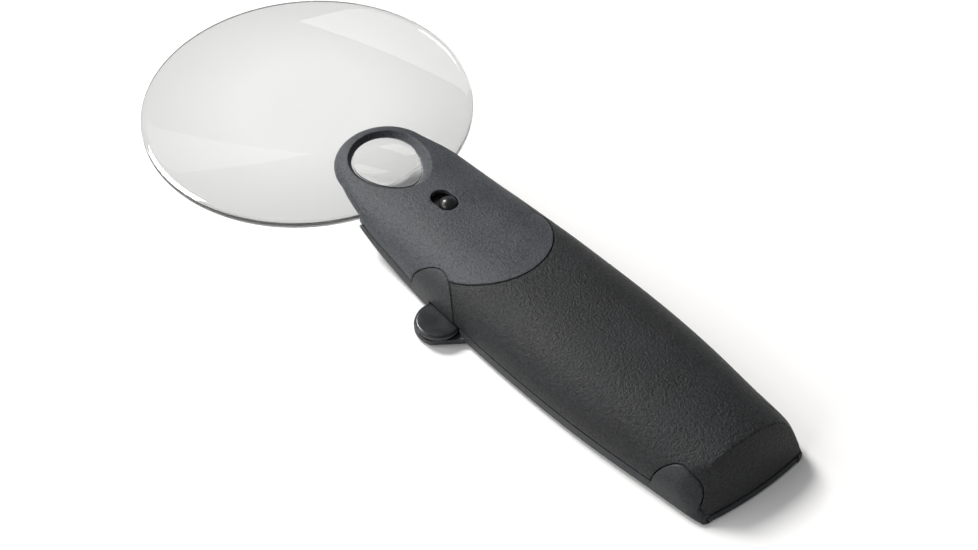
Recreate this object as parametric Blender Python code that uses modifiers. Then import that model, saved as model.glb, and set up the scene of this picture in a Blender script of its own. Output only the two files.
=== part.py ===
"""Illuminated hand magnifier for low vision: a rimless lens held by a battery handle.

Sizes are in millimetres times MM, so the objects are in metres. +X runs from the tail to
the lens, +Y to the side with the thumbwheel and +Z up. The origin is on the table under
the middle of the object's box.
"""
import math

import bmesh
import bpy
from mathutils import Vector

MM = 0.001
GAP = 0.3                       # clearance between neighbouring pieces
COLLECTION = "low_vision_magnifier"

# Main lens
LENS_X = 72.0
LENS_Z = 11.0
LENS_RADIUS = 55.0
LENS_EDGE = 1.8                 # thickness at the rim
LENS_SAG = 2.4                  # rise of each face from rim to middle
LENS_STEPS = 64
TONGUE_X = (6.0, 24.0)
TONGUE_HALF_WIDTH = 13.0
TONGUE_Z = (9.3, 12.7)
TONGUE_Z_THROUGH = (7.3, 14.7)  # of the cutters for the screw holes in the tongue

# Ring round the spot lens
RING_X = 31.0
RING_RADIUS = 16.9
RING_TANGENT_X = 33.5           # where the ring's circle runs into the straight neck
HOLE = (31.8, 10.8, 14.9, 10.7)     # widest x, reach to the lens, reach to the tail, half width
COUNTERSINK = (29.5, 14.2, 15.4, 13.5)
COUNTERSINK_Z = (15.0, 17.9)
EGG_POINT = 1.14                    # 1 is an ellipse; more is more pointed
SPOT_RADIUS = 10.2                  # of the dome on the egg-shaped spot lens
SPOT_Z = (14.5, 15.0, 16.1)         # underside, top of the plate and top of the dome

# Handle, as smooth curves through (x, value) keys from the head to the tail
HALF_WIDTH = ((33.5, 16.7), (27, 18.6), (20, 20.2), (12, 21.1), (0, 22.0), (-12, 22.9),
              (-32, 23.9), (-55, 24.3), (-75, 23.9), (-90, 22.9), (-105, 21.4), (-118, 20.3),
              (-134, 18.8))
CROWN = ((48, 18.0), (31, 17.9), (17, 18.1), (3, 18.6), (-18, 19.1), (-35, 19.6), (-58, 20.1),
         (-78, 20.1), (-98, 19.6), (-111, 18.8), (-120, 18.0), (-134, 16.2))
KNEE = ((25, 12.5), (15, 11.0), (0, 8.5), (-15, 6.0), (-25, 5.0), (-134, 5.0))
SEAM = ((22, 9.2), (12, 8.0), (3, 7.3), (-5, 6.2), (-15, 5.3), (-25, 5.0), (-134, 5.0))
SQUARENESS = ((48, 3.0), (36, 2.8), (30, 2.4), (24, 2.2), (14, 2.2), (0, 2.5), (-12, 2.8),
              (-24, 2.9), (-45, 2.7), (-70, 2.6), (-90, 2.5), (-108, 2.35), (-134, 2.4))
WALL = 2.0
CHIN_X = (-5.0, 22.0)           # the underside rises from the table to the lens between these
CHIN_RISE = 7.0
FLARE = 1.0                     # the lower shell stands proud of the head cover at its nose
CORNER = (2.8, 1.8)             # width and height of the rounded edge along the base
CHIN_CORNER = (3.0, 1.7)        # extra width and height of that edge at the nose
CHIN_CORNER_X = (-12.0, 2.0)    # its height grows between these
SHELL_FRONT_X = 19.7
CAVITY_FRONT_X = 5.0
SHOULDER_STEPS = 9
CORNER_STEPS = 3
SHARP_ANGLE = 30.0

# Slanted, slightly bowed tail face
TAIL_X = -127.4
TAIL_BOW_RADIUS = 120.0
TAIL_LEAN = 0.43
TAIL_SKEW = 5.5                 # degrees; the face looks a little towards the wheel's side
TAIL_CORNER_X = (-123.2, -129.0)    # where the rounded upright corners start, per side
TAIL_CORNER = (19.2, 0.96, 0.7)     # their half width there, its gain per mm forward, loss per mm up
TAIL_CORNER_BLEND = 1.5
TAIL_FOOT = (2.2, 3.0)          # the base runs further out into the corners, up to this height
TAIL_CURVE_X = -105.0           # the stations lie closer together behind this
BODY_END_X = -131.0

# Parting lines
PANEL_X = -16.0                 # middle of the head cover's half-oval rear edge
PANEL_RADII = (20.8, 20.0)
HEAD_TAB = (-17.4, 5.8, 10.0)   # x, z and radius of the lower shell's half-round side tabs
TAIL_TAB = (-112.7, 4.6, 9.5)   # x, z and height of the arched side tabs at the tail
TAIL_TAB_REACH = (6.3, 8.2)     # forwards and backwards
TAIL_TAB_FOOT_X = -124.3
TAB_STEPS = 18
TAIL_TAB_INNER_Y = 13.0
TAIL_TAB_END_X = -121.0
TAIL_SEAM_Z = 2.0

# Light switch
SLOT_X = 3.0
SLOT_LENGTH = 9.9
SLOT_WIDTH = 6.6
KNOB_RADIUS = 3.0
KNOB_TRAVEL = 3.3
KNOB_X = SLOT_X - KNOB_TRAVEL / 2
KNOB_TOP_Z = 20.0
FLANGE = (14.4, 8.6)
FLANGE_Z = (15.5, 16.1)
SWITCH_BODY_X = (-6.0, 8.6)
SWITCH_BODY_Z = (13.0, 15.2)

# Thumbwheel and its ledge
WHEEL_X, WHEEL_Y = -23.0, 25.6
WHEEL_RADIUS = 7.2
WHEEL_Z = (2.9, 4.7)
LEDGE_Y = 24.9
LEDGE_RADIUS = 7.9
LEDGE_Z = (0.6, 2.6)
LEDGE_TIP = (-34.0, 22.6)
AXLE_RADIUS = 1.2

# Batteries (two AA cells side by side), terminals and door
CELL_RADIUS = 7.1
CELL_LENGTH = 50.5
CELL_Y = 7.7
CELL_Z = 9.4
BAY_X = (-49.7, -104.8)
PLATE = 0.4
SPRING_GAP = 4.3                # room left for each spring
RIB = 1.5
DOOR_FRONT_X = -49.5
DOOR_HALF_WIDTH = 15.9
DOOR_BASE_Z = 0.3               # the door is sunk a little, so that the shell carries the handle
DOOR_TOP_Z = 1.8
DOOR_TONGUE = (1.0, 0.9, 1.5)   # reach, bottom and top of the sliding tongues

# Circuit board and light
BOARD_X = (-32.0, -3.0)
BOARD_HALF_WIDTH = 14.0
BOARD_Z = (6.0, 7.2)
POSTS = [(x, y) for x in (-27.0, -8.0) for y in (-10.0, 10.0)]
LED_Z = 6.6
LED_X = (1.7, 7.0)
WINDOW_X = (8.6, 17.6)
WINDOW_HALF_WIDTH = 4.7
WINDOW_TOP_Z = 7.7

# Screws: x, y, bottom of the head, tip
SCREW_HEAD = (2.1, 1.3)
SCREW_RADIUS = 1.1
LENS_SCREWS = {"lens_screw_left": (12.0, 8.0, 4.7, 15.8),
               "lens_screw_right": (12.0, -8.0, 4.7, 15.8)}
SHELL_SCREWS = {"shell_screw_left": (-36.0, 16.0, 0.6, 12.2),
                "shell_screw_right": (-36.0, -16.0, 0.6, 12.2),
                "shell_screw_rear": (-114.0, 0.0, 2.2, 12.2)}
BOSS_RADIUS = 3.2


# ---------------------------------------------------------------- scene helpers

def clear_scene():
    for obj in list(bpy.data.objects):
        bpy.data.objects.remove(obj)
    for name in (COLLECTION, "cutters"):
        bpy.context.scene.collection.children.link(bpy.data.collections.new(name))


def material(name, colour, roughness, metallic=0.0, alpha=1.0):
    mat = bpy.data.materials.new(name)
    mat.use_nodes = True
    shader = mat.node_tree.nodes["Principled BSDF"]
    shader.inputs["Base Color"].default_value = (*colour, 1.0)
    shader.inputs["Roughness"].default_value = roughness
    shader.inputs["Metallic"].default_value = metallic
    shader.inputs["Alpha"].default_value = alpha
    mat.diffuse_color = (*colour, alpha)
    return mat


def add_object(name, data, collection):
    obj = bpy.data.objects.new(name, data)
    bpy.data.collections[collection].objects.link(obj)
    if collection == "cutters":
        obj.hide_render = True
        obj.display_type = "WIRE"
    return obj


def finish_mesh(name, bm, collection):
    """Turn a bmesh in millimetres into a named object in metres."""
    bmesh.ops.recalc_face_normals(bm, faces=bm.faces[:])
    bmesh.ops.scale(bm, vec=(MM, MM, MM), verts=bm.verts[:])
    mesh = bpy.data.meshes.new(name)
    bm.to_mesh(mesh)
    bm.free()
    return add_object(name, mesh, collection)


def boolean(target, tool, operation="DIFFERENCE"):
    modifier = target.modifiers.new(tool.name, "BOOLEAN")
    modifier.operation = operation
    modifier.solver = "EXACT"
    modifier.object = tool
    return target


def box(name, x, y, z, collection="cutters"):
    """Box between two values on each axis."""
    bm = bmesh.new()
    bmesh.ops.create_cube(bm, size=1.0)
    bmesh.ops.scale(bm, vec=(abs(x[1] - x[0]), y[1] - y[0], z[1] - z[0]), verts=bm.verts[:])
    middle = Vector(((x[0] + x[1]) / 2, (y[0] + y[1]) / 2, (z[0] + z[1]) / 2))
    bmesh.ops.translate(bm, vec=middle, verts=bm.verts[:])
    return finish_mesh(name, bm, collection)


def post(name, x, y, z, radius, collection="cutters", segments=20):
    """Upright cylinder between two heights."""
    bm = bmesh.new()
    bmesh.ops.create_cone(bm, cap_ends=True, segments=segments, radius1=radius, radius2=radius,
                          depth=z[1] - z[0])
    bmesh.ops.translate(bm, vec=(x, y, (z[0] + z[1]) / 2), verts=bm.verts[:])
    return finish_mesh(name, bm, collection)


def prism(name, outline, low, high, axis, collection="cutters"):
    """Flat outline pushed along an axis: (x, y) along Z, or (x, z) along Y."""
    bm = bmesh.new()
    if axis == "Z":
        corners = [bm.verts.new((a, b, low)) for a, b in outline]
        push = (0, 0, high - low)
    else:
        corners = [bm.verts.new((a, low, b)) for a, b in outline]
        push = (0, high - low, 0)
    face = bm.faces.new(corners)
    pushed = bmesh.ops.extrude_face_region(bm, geom=[face])["geom"]
    bmesh.ops.translate(bm, vec=push, verts=[v for v in pushed if isinstance(v, bmesh.types.BMVert)])
    return finish_mesh(name, bm, collection)


def move_to_part(obj):
    bpy.data.collections["cutters"].objects.unlink(obj)
    bpy.data.collections[COLLECTION].objects.link(obj)
    obj.hide_render = False
    obj.display_type = "TEXTURED"


def loft(name, loops, collection="cutters", tip=None):
    """Closed skin over loops of points with the same count; tip closes the first end to a point."""
    bm = bmesh.new()
    rows = [[bm.verts.new(point) for point in loop] for loop in loops]
    count = len(rows[0])
    for near, far in zip(rows, rows[1:]):
        for i in range(count):
            j = (i + 1) % count
            bm.faces.new((near[i], near[j], far[j], far[i]))
    bm.faces.new(rows[-1])
    if tip is None:
        bm.faces.new(rows[0])
    else:
        point = bm.verts.new(tip)
        for i in range(count):
            bm.faces.new((rows[0][i], rows[0][(i + 1) % count], point))
    return finish_mesh(name, bm, collection)


def turned(name, profile, collection, place=(0, 0, 0), turn=(0, 0, 0), steps=24):
    """Solid of revolution about Z from (radius, z) points that run from the top down."""
    mesh = bpy.data.meshes.new(name)
    points = [(r * MM, 0, z * MM) for r, z in profile]
    mesh.from_pydata(points, [(i, i + 1) for i in range(len(points) - 1)], [])
    obj = add_object(name, mesh, collection)
    obj.location = Vector(place) * MM
    obj.rotation_euler = turn
    screw = obj.modifiers.new("turn", "SCREW")
    screw.steps = screw.render_steps = steps
    screw.use_merge_vertices = True
    screw.merge_threshold = 0.00001
    return obj


def wire(name, points, radius, colour, resolution=1):
    """Round wire through points in millimetres, with filled ends."""
    curve = bpy.data.curves.new(name, "CURVE")
    curve.dimensions = "3D"
    curve.bevel_depth = radius * MM
    curve.bevel_resolution = resolution
    curve.use_fill_caps = True
    spline = curve.splines.new("POLY")
    spline.points.add(len(points) - 1)
    for point, place in zip(spline.points, points):
        point.co = (*[value * MM for value in place], 1.0)
    obj = add_object(name, curve, COLLECTION)
    curve.materials.append(colour)
    return obj


def paint(obj, mat):
    obj.data.materials.clear()
    obj.data.materials.append(mat)
    obj.data.shade_smooth()
    obj.data.set_sharp_from_angle(angle=math.radians(SHARP_ANGLE))
    return obj


# ---------------------------------------------------------------- body shape

def along(keys, x):
    """Smooth curve through (x, value) keys that run from the head to the tail."""
    if x >= keys[0][0]:
        return keys[0][1]
    if x <= keys[-1][0]:
        return keys[-1][1]
    i = max(k for k in range(len(keys) - 1) if keys[k][0] >= x)

    def slope(k):
        ahead = keys[max(k - 1, 0)]
        behind = keys[min(k + 1, len(keys) - 1)]
        return (behind[1] - ahead[1]) / (behind[0] - ahead[0])

    (x0, v0), (x1, v1) = keys[i], keys[i + 1]
    run = x1 - x0
    s = (x - x0) / run
    return ((2 * s ** 3 - 3 * s ** 2 + 1) * v0 + (s ** 3 - 2 * s ** 2 + s) * slope(i) * run
            + (3 * s ** 2 - 2 * s ** 3) * v1 + (s ** 3 - s ** 2) * slope(i + 1) * run)


def chin(x):
    """0 on the flat base, 1 at the nose."""
    return min(max((x - CHIN_X[0]) / (CHIN_X[1] - CHIN_X[0]), 0.0), 1.0)


def base_height(x):
    s = chin(x)
    return CHIN_RISE * (1.6 * s ** 2 - 0.6 * s ** 3)


def half_width(x):
    if x > RING_TANGENT_X:
        return math.sqrt(max(RING_RADIUS ** 2 - (x - RING_X) ** 2, 0.0))
    return along(HALF_WIDTH, x)


def corner_limit(x, z, side):
    """Half width left by the rounded upright corner at the tail, on one side (1 or -1)."""
    width, gain, loss = TAIL_CORNER
    start = TAIL_CORNER_X[0] if side > 0 else TAIL_CORNER_X[1]
    foot = TAIL_FOOT[0] * max(0.0, 1 - z / TAIL_FOOT[1])
    return max(width + gain * (x - start) - loss * z + foot, 6.0)


def section(x, inset=0.0, flare=0.0):
    """Closed outline of the body at x, as (x, y, z) points."""
    width = half_width(x) + flare * chin(x) - inset
    base = base_height(x) + inset
    knee = along(KNEE, x)
    rise = along(CROWN, x) - inset - knee
    roll = min(max((x - CHIN_CORNER_X[0]) / (CHIN_CORNER_X[1] - CHIN_CORNER_X[0]), 0.0), 1.0)
    corner_y = min(max(CORNER[0] + CHIN_CORNER[0] * chin(x) - inset, 0.5), 0.9 * width)
    corner_z = max(CORNER[1] + CHIN_CORNER[1] * roll - inset, 0.5)
    off_centre = x - RING_X if x > RING_TANGENT_X else 0.0
    reach = math.hypot(width, off_centre)
    power = along(SQUARENESS, x)
    half = [(0.0, base)]
    for k in range(CORNER_STEPS + 1):
        a = k / CORNER_STEPS * math.pi / 2
        half.append((width - corner_y + corner_y * math.sin(a), base + corner_z * (1 - math.cos(a))))
    for k in range(SHOULDER_STEPS + 1):
        y = width * math.cos(k / SHOULDER_STEPS * math.pi / 2) ** (2 / power)
        spread = (math.hypot(y, off_centre) / reach) ** power
        half.append((y, knee + rise * max(1 - spread, 0.0) ** (1 / power)))
    half[-1] = (0.0, half[-1][1])

    def trimmed(side):
        points = []
        for y, z in half[1:-1]:
            if x < BAY_X[1]:
                limit = corner_limit(x, z, side) - 1.2 * inset
                y = (y + limit - math.hypot(y - limit, TAIL_CORNER_BLEND)) / 2
            points.append((side * y, z))
        return points

    outline = [half[0]] + trimmed(1) + [half[-1]] + trimmed(-1)[::-1]
    return [(x, y, z) for y, z in outline]


def skin_height(x, y):
    """Height of the body's upper surface behind the ring."""
    knee = along(KNEE, x)
    power = along(SQUARENESS, x)
    spread = (abs(y) / half_width(x)) ** power
    return knee + (along(CROWN, x) - knee) * (1 - spread) ** (1 / power)


def spaced(start, end, steps):
    return [start + (end - start) * k / steps for k in range(steps + 1)]


def body_stations():
    ring = [RING_X + RING_RADIUS * math.cos(math.radians(a)) for a in (12, 24, 36, 48, 60, 72)]
    neck = spaced(RING_TANGENT_X, CHIN_X[0], 6)
    grip = spaced(CHIN_X[0], TAIL_CURVE_X, 14)[1:]
    return ring + neck + grip + spaced(TAIL_CURVE_X, BODY_END_X, 8)[1:]


def body(name, flare=0.0):
    loops = [section(x, flare=flare) for x in body_stations()]
    return loft(name, loops, tip=(RING_X + RING_RADIUS, 0, along(KNEE, RING_X)))


def cavity():
    stations = spaced(CAVITY_FRONT_X, TAIL_CURVE_X, 17) + spaced(TAIL_CURVE_X, BODY_END_X, 7)[1:]
    hollow = loft("cavity", [section(x, inset=WALL) for x in stations])
    return boolean(hollow, tail_cutter("cavity_tail", WALL + 0.2))


def circle(x, y, radius, z, count=160):
    turns = [2 * math.pi * k / count for k in range(count)]
    return [(x + radius * math.cos(a), y + radius * math.sin(a), z) for a in turns]


def egg(shape, z, grow=0.0, count=40):
    """Closed outline: half an ellipse towards the lens and a more pointed half towards the tail."""
    x, front, rear, half_width_y = shape
    points = []
    for k in range(count):
        a = 2 * math.pi * k / count
        ahead = math.cos(a) >= 0
        bend = 1.0 if ahead else EGG_POINT
        along_x = (front if ahead else -rear) + (grow if ahead else -grow)
        across = math.copysign(abs(math.sin(a)) ** bend, math.sin(a))
        points.append((x + along_x * abs(math.cos(a)) ** bend, (half_width_y + grow) * across, z))
    return points


def tail_cutter(name, inset=0.0):
    """Everything behind the slanted, bowed tail face."""
    block = box(name, (-160, -100), (-40, 40), (-10, 30))
    loops = []
    skew = math.radians(TAIL_SKEW)
    for z in (-20.0, 40.0):
        middle = TAIL_X + inset + TAIL_LEAN * z + TAIL_BOW_RADIUS * math.cos(skew)
        loops.append(circle(middle, -TAIL_BOW_RADIUS * math.sin(skew), TAIL_BOW_RADIUS, z))
    return boolean(block, loft(name + "_bow", loops))


def arc_points(x, z, radius, start, end, count=14):
    angles = [math.radians(start + (end - start) * k / count) for k in range(count + 1)]
    return [(x + radius * math.cos(a), z + radius * math.sin(a)) for a in angles]


def lower_region(name, grow=0.0):
    """Side outline of the lower shell: below the seam, with a half-round tab near each end.

    The head tab shows on both sides; the tail tabs keep to the sides of the tail face.
    """
    top = []
    seam_steps = 10
    nose_x = CHIN_X[1]
    head_x, head_z, head_r = HEAD_TAB
    tail_x, tail_z, tail_height = TAIL_TAB
    for k in range(seam_steps):
        x = nose_x + (head_x + head_r - nose_x) * k / seam_steps
        top.append((x, along(SEAM, x) + grow))
    climb = math.degrees(math.asin((along(SEAM, head_x + head_r) + grow - head_z) / (head_r + grow)))
    drop = math.degrees(math.asin((head_z - along(SEAM, tail_x) - grow) / (head_r + grow)))
    top += arc_points(head_x, head_z, head_r + grow, climb, 180 + drop)
    top.append((tail_x, along(SEAM, tail_x) + grow))
    top.append((TAIL_TAB_END_X, along(SEAM, tail_x) + grow))
    top.append((TAIL_TAB_END_X, TAIL_SEAM_Z + grow))
    top.append((-140.0, TAIL_SEAM_Z + grow))
    outline = [(nose_x, -6.0)] + top + [(-140.0, -6.0)]
    region = prism(name, outline, -45, 45, "Y")
    front, rear = TAIL_TAB_REACH
    tab = []
    for k in range(TAB_STEPS + 1):
        a = math.pi * k / TAB_STEPS
        reach = (front if math.cos(a) > 0 else rear) + grow
        tab.append((tail_x + reach * math.cos(a), tail_z + (tail_height + grow) * math.sin(a)))
    tab += [(TAIL_TAB_FOOT_X - grow, TAIL_SEAM_Z), (TAIL_TAB_FOOT_X - grow, -5.0)]
    tab.append((tail_x + front + grow, -5.0))
    for side in (-1, 1):
        low, high = sorted((side * (TAIL_TAB_INNER_Y - grow), side * 44.0))
        boolean(region, prism(f"{name}_tab_{side + 1}", tab, low, high, "Y"), "UNION")
    return region


def head_region(name, grow=0.0):
    """Plan outline of the head cover: the head with a half-oval rear edge."""
    a, b = PANEL_RADII[0] + grow, PANEL_RADII[1] + grow
    count = 40
    oval = []
    for k in range(count + 1):
        angle = math.pi / 2 + math.pi * k / count
        oval.append((PANEL_X + a * math.cos(angle), b * math.sin(angle)))
    front = [(PANEL_X - grow, -30.0), (60.0, -30.0), (60.0, 30.0), (PANEL_X - grow, 30.0)]
    start = [(PANEL_X - grow, oval[0][1])]
    end = [(PANEL_X - grow, oval[-1][1])]
    return prism(name, start + oval[1:-1] + end + front, -10, 40, "Z")


# ---------------------------------------------------------------- lenses

def lens_face(offset=0.0, steps=6):
    """(radius, height above the lens's middle plane) from the middle to the rim."""
    points = []
    for k in range(steps + 1):
        r = LENS_RADIUS * k / steps
        rise = LENS_EDGE / 2 + LENS_SAG * (1 - (r / LENS_RADIUS) ** 2)
        points.append((r, rise + offset))
    return points


def make_main_lens(mat):
    upper = lens_face()
    lower = [(r, -z) for r, z in reversed(upper)]
    lens = turned("main_lens", upper + lower, COLLECTION, (LENS_X, 0, LENS_Z), steps=LENS_STEPS)
    tongue = box("lens_tongue", TONGUE_X, (-TONGUE_HALF_WIDTH, TONGUE_HALF_WIDTH), TONGUE_Z)
    boolean(lens, tongue, "UNION")
    for name, (x, y, low, high) in LENS_SCREWS.items():
        boolean(lens, post(name + "_tongue_hole", x, y, TONGUE_Z_THROUGH, SCREW_RADIUS + GAP))
    return paint(lens, mat)


def lens_cutter(name, upwards):
    """Room for the lens, kept open upwards (for the lower shell) or downwards (for the cover)."""
    rim = LENS_RADIUS + GAP
    face = lens_face(GAP)
    face[-1] = (rim, face[-1][1])
    if upwards:
        profile = [(0.0, 30.0), (rim, 30.0)] + [(r, -z) for r, z in reversed(face)]
    else:
        profile = face + [(rim, -20.0), (0.0, -20.0)]
    return turned(name, profile, "cutters", (LENS_X, 0, LENS_Z), steps=LENS_STEPS)


def make_spot_lens(mat):
    """Egg-shaped plate that fills the hole, with a round dome on it."""
    base, top, crest = SPOT_Z
    plate = loft("spot_lens", [egg(HOLE, z, -GAP) for z in (base, top)])
    move_to_part(plate)
    dome = [(SPOT_RADIUS * k / 5, crest - (crest - top) * (k / 5) ** 2) for k in range(6)]
    profile = dome + [(SPOT_RADIUS, (base + top) / 2), (0.0, (base + top) / 2)]
    boolean(plate, turned("spot_dome", profile, "cutters", (HOLE[0], 0, 0), steps=32), "UNION")
    return paint(plate, mat)


# ---------------------------------------------------------------- shells

def cut_tongue(obj, extra_depth=0.0):
    x = (TONGUE_X[0] - GAP, TONGUE_X[1] + 10)
    y = (-TONGUE_HALF_WIDTH - GAP, TONGUE_HALF_WIDTH + GAP)
    z = (TONGUE_Z[0] - GAP - extra_depth, TONGUE_Z[1] + GAP)
    return boolean(obj, box(obj.name + "_tongue_room", x, y, z))


def cut_led_room(obj):
    x = (CAVITY_FRONT_X - 3, WINDOW_X[0])
    return boolean(obj, box(obj.name + "_led_room", x, (-2.2, 2.2), (LED_Z - 2.2, LED_Z + 2.0)))


def make_head_cover(mat, hollow):
    cover = body("head_cover")
    move_to_part(cover)
    boolean(cover, head_region("head_area"), "INTERSECT")
    boolean(cover, lower_region("lower_area_for_head", GAP))
    boolean(cover, hollow)
    boolean(cover, lens_cutter("lens_room_below", upwards=False))
    cut_tongue(cover, extra_depth=4.0)
    cut_led_room(cover)
    low, high = COUNTERSINK_Z
    window = [egg(HOLE, 5.0), egg(HOLE, low), egg(COUNTERSINK, high), egg(COUNTERSINK, high + 2.0, 1.6)]
    boolean(cover, loft("ring_window", window))
    boolean(cover, slot_cutter())
    pocket_y = FLANGE[1] / 2 + 0.5
    boolean(cover, box("flange_pocket", (CAVITY_FRONT_X - 1, 12.4), (-pocket_y, pocket_y), (12.6, 16.9)))
    for name, (x, y, low, high) in LENS_SCREWS.items():
        boolean(cover, post(name + "_pilot", x, y, (12.0, high + GAP), SCREW_RADIUS + GAP))
    return paint(cover, mat)


def slot_cutter():
    radius = SLOT_WIDTH / 2
    reach = SLOT_LENGTH / 2 - radius
    front = arc_points(SLOT_X + reach, 0, radius, -90, 90, 10)
    back = arc_points(SLOT_X - reach, 0, radius, 90, 270, 10)
    return prism("switch_slot", front + back, 14.0, 25.0, "Z")


def make_grip_cover(mat, hollow):
    cover = body("grip_cover")
    move_to_part(cover)
    boolean(cover, head_region("head_area_for_grip", GAP))
    boolean(cover, lower_region("lower_area_for_grip", GAP))
    boolean(cover, tail_cutter("tail_for_grip"))
    boolean(cover, hollow)
    for name, (x, y, low, high) in SHELL_SCREWS.items():
        foot = 5.5 if y == 0 else 4.5
        top = skin_height(x, abs(y) + BOSS_RADIUS) - WALL / 2
        boolean(cover, post(name + "_grip_boss", x, y, (foot, top), BOSS_RADIUS - 0.4), "UNION")
        boolean(cover, post(name + "_grip_pilot", x, y, (4.0, high + GAP), SCREW_RADIUS + GAP))
    return paint(cover, mat)


def ledge_outline():
    """Round ledge under the wheel that runs back into the side wall."""
    arc = arc_points(WHEEL_X + 0.2, LEDGE_Y, LEDGE_RADIUS, -20, 118, 18)
    return [(WHEEL_X + 5.0, 21.0)] + arc + [LEDGE_TIP, (LEDGE_TIP[0] + 2, 21.0)]


def door_profile(grow=0.0):
    """(y, z) section of the sliding door with its side tongues."""
    reach, low, high = DOOR_TONGUE
    y0 = DOOR_HALF_WIDTH + grow
    y1 = y0 + reach
    top = DOOR_TOP_Z + grow
    base = DOOR_BASE_Z - grow * 4
    right = [(y0, base), (y0, low - grow), (y1, low - grow), (y1, high + grow), (y0, high + grow),
             (y0, top)]
    return right + [(-y, z) for y, z in reversed(right)]


def door_solid(name, grow, front_x):
    loops = [[(x, y, z) for y, z in door_profile(grow)] for x in (front_x, -140.0)]
    return loft(name, loops)


def make_lower_shell(mat, hollow):
    shell = body("lower_shell", flare=FLARE)
    move_to_part(shell)
    boolean(shell, lower_region("lower_area"), "INTERSECT")
    boolean(shell, hollow)
    boolean(shell, prism("wheel_ledge", ledge_outline(), *LEDGE_Z, "Z"), "UNION")
    rib_side = 18.6
    front_x = BAY_X[0] + PLATE + GAP
    front_rib = box("front_rib", (front_x, front_x + RIB), (-19.0, 19.0), (1.0, 12.0))
    rear_x = BAY_X[1] - PLATE - GAP
    rear_rib = box("rear_rib", (rear_x - RIB, rear_x), (2.5 - rib_side, rib_side - 2.5), (2.2, 12.0))
    rear_bridge = box("rear_bridge", (rear_x - 12.0, rear_x), (-rib_side, rib_side), (2.2, 5.0))
    for rib in (front_rib, rear_rib, rear_bridge):
        boolean(shell, rib, "UNION")
    for name, (x, y, low, high) in SHELL_SCREWS.items():
        if y:
            boolean(shell, post(name + "_lower_boss", x, y, (0.4, 4.2), BOSS_RADIUS), "UNION")
    for k, (x, y) in enumerate(POSTS):
        rest, tip = BOARD_Z[0] - GAP, BOARD_Z[1] + 0.6
        boolean(shell, post(f"board_post_{k}", x, y, (1.0, rest), 1.8, segments=12), "UNION")
        boolean(shell, post(f"board_pin_{k}", x, y, (5.0, tip), 0.8, segments=12), "UNION")
    boolean(shell, tail_cutter("tail_for_lower"))
    boolean(shell, lens_cutter("lens_room_above", upwards=True))
    cut_tongue(shell)
    boolean(shell, box("nose_trim", (SHELL_FRONT_X, 60.0), (-40.0, 40.0), (-10.0, 30.0)))
    boolean(shell, door_solid("door_room", GAP, DOOR_FRONT_X + GAP))
    for name, y in (("left_notch", CELL_Y), ("right_notch", -CELL_Y)):
        boolean(shell, box(name, (BAY_X[0], BAY_X[0] + 4), (y - 0.9, y + 0.9), (9.4, 11.6)))
    window_y = WINDOW_HALF_WIDTH + GAP
    boolean(shell, box("window_room", (WINDOW_X[0] - GAP, WINDOW_X[1] + GAP), (-window_y, window_y),
                       (0.0, WINDOW_TOP_Z + GAP)))
    cut_led_room(shell)
    for name, (x, y, low, high) in {**LENS_SCREWS, **SHELL_SCREWS}.items():
        head_top = low + SCREW_HEAD[1] + GAP
        boolean(shell, post(name + "_counterbore", x, y, (-3.0, head_top), SCREW_HEAD[0] + GAP))
        boolean(shell, post(name + "_clearance", x, y, (-3.0, 9.8), SCREW_RADIUS + GAP))
    boolean(shell, post("wheel_slot", WHEEL_X, WHEEL_Y, (LEDGE_Z[1], WHEEL_Z[1] + GAP),
                        WHEEL_RADIUS + GAP, segments=48))
    boolean(shell, post("axle_hole", WHEEL_X, WHEEL_Y, (-1.0, 4.0), AXLE_RADIUS + GAP))
    boolean(shell, post("axle_head_room", WHEEL_X, WHEEL_Y, (-1.0, 1.3), 2.3))
    return paint(shell, mat)


def make_battery_door(mat):
    door = door_solid("battery_door", 0.0, DOOR_FRONT_X)
    move_to_part(door)
    boolean(door, tail_cutter("tail_for_door"))
    return paint(door, mat)


# ---------------------------------------------------------------- moving controls

def make_switch_knob(mat):
    dome = [(KNOB_RADIUS * math.sin(a), KNOB_TOP_Z - KNOB_RADIUS * 0.8 * (1 - math.cos(a)))
            for a in (math.pi / 2 * k / 6 for k in range(7))]
    profile = dome + [(KNOB_RADIUS, FLANGE_Z[1] - 0.2), (0.0, FLANGE_Z[1] - 0.2)]
    knob = turned("switch_knob", profile, COLLECTION, (KNOB_X, 0, 0))
    half_x, half_y = FLANGE[0] / 2, FLANGE[1] / 2
    flange = box("knob_flange", (KNOB_X - half_x, KNOB_X + half_x), (-half_y, half_y), FLANGE_Z)
    boolean(knob, flange, "UNION")
    boolean(knob, post("knob_stem", KNOB_X, 0, (14.2, 15.8), 1.0, segments=12), "UNION")
    return paint(knob, mat)


def make_switch_body(mat):
    half_y = FLANGE[1] / 2 - 0.3
    switch = box("switch_body", SWITCH_BODY_X, (-half_y, half_y), SWITCH_BODY_Z, COLLECTION)
    stem_reach = (KNOB_X - 1.4, KNOB_X + KNOB_TRAVEL + 1.4)
    boolean(switch, box("stem_track", stem_reach, (-1.4, 1.4), (13.8, 20.0)))
    return paint(switch, mat)


def make_thumbwheel(mat):
    low, high = WHEEL_Z
    r = WHEEL_RADIUS
    bore = AXLE_RADIUS + 0.25
    profile = [(0.0, high), (r - 0.6, high), (r, high - 0.5), (r, low + 0.3), (r - 0.3, low),
               (bore, low), (bore, high - 0.5), (0.0, high - 0.5)]
    middle = (low + high) / 2
    profile = [(radius, z - middle) for radius, z in profile]
    return paint(turned("thumbwheel", profile, COLLECTION, (WHEEL_X, WHEEL_Y, middle), steps=48), mat)


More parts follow.
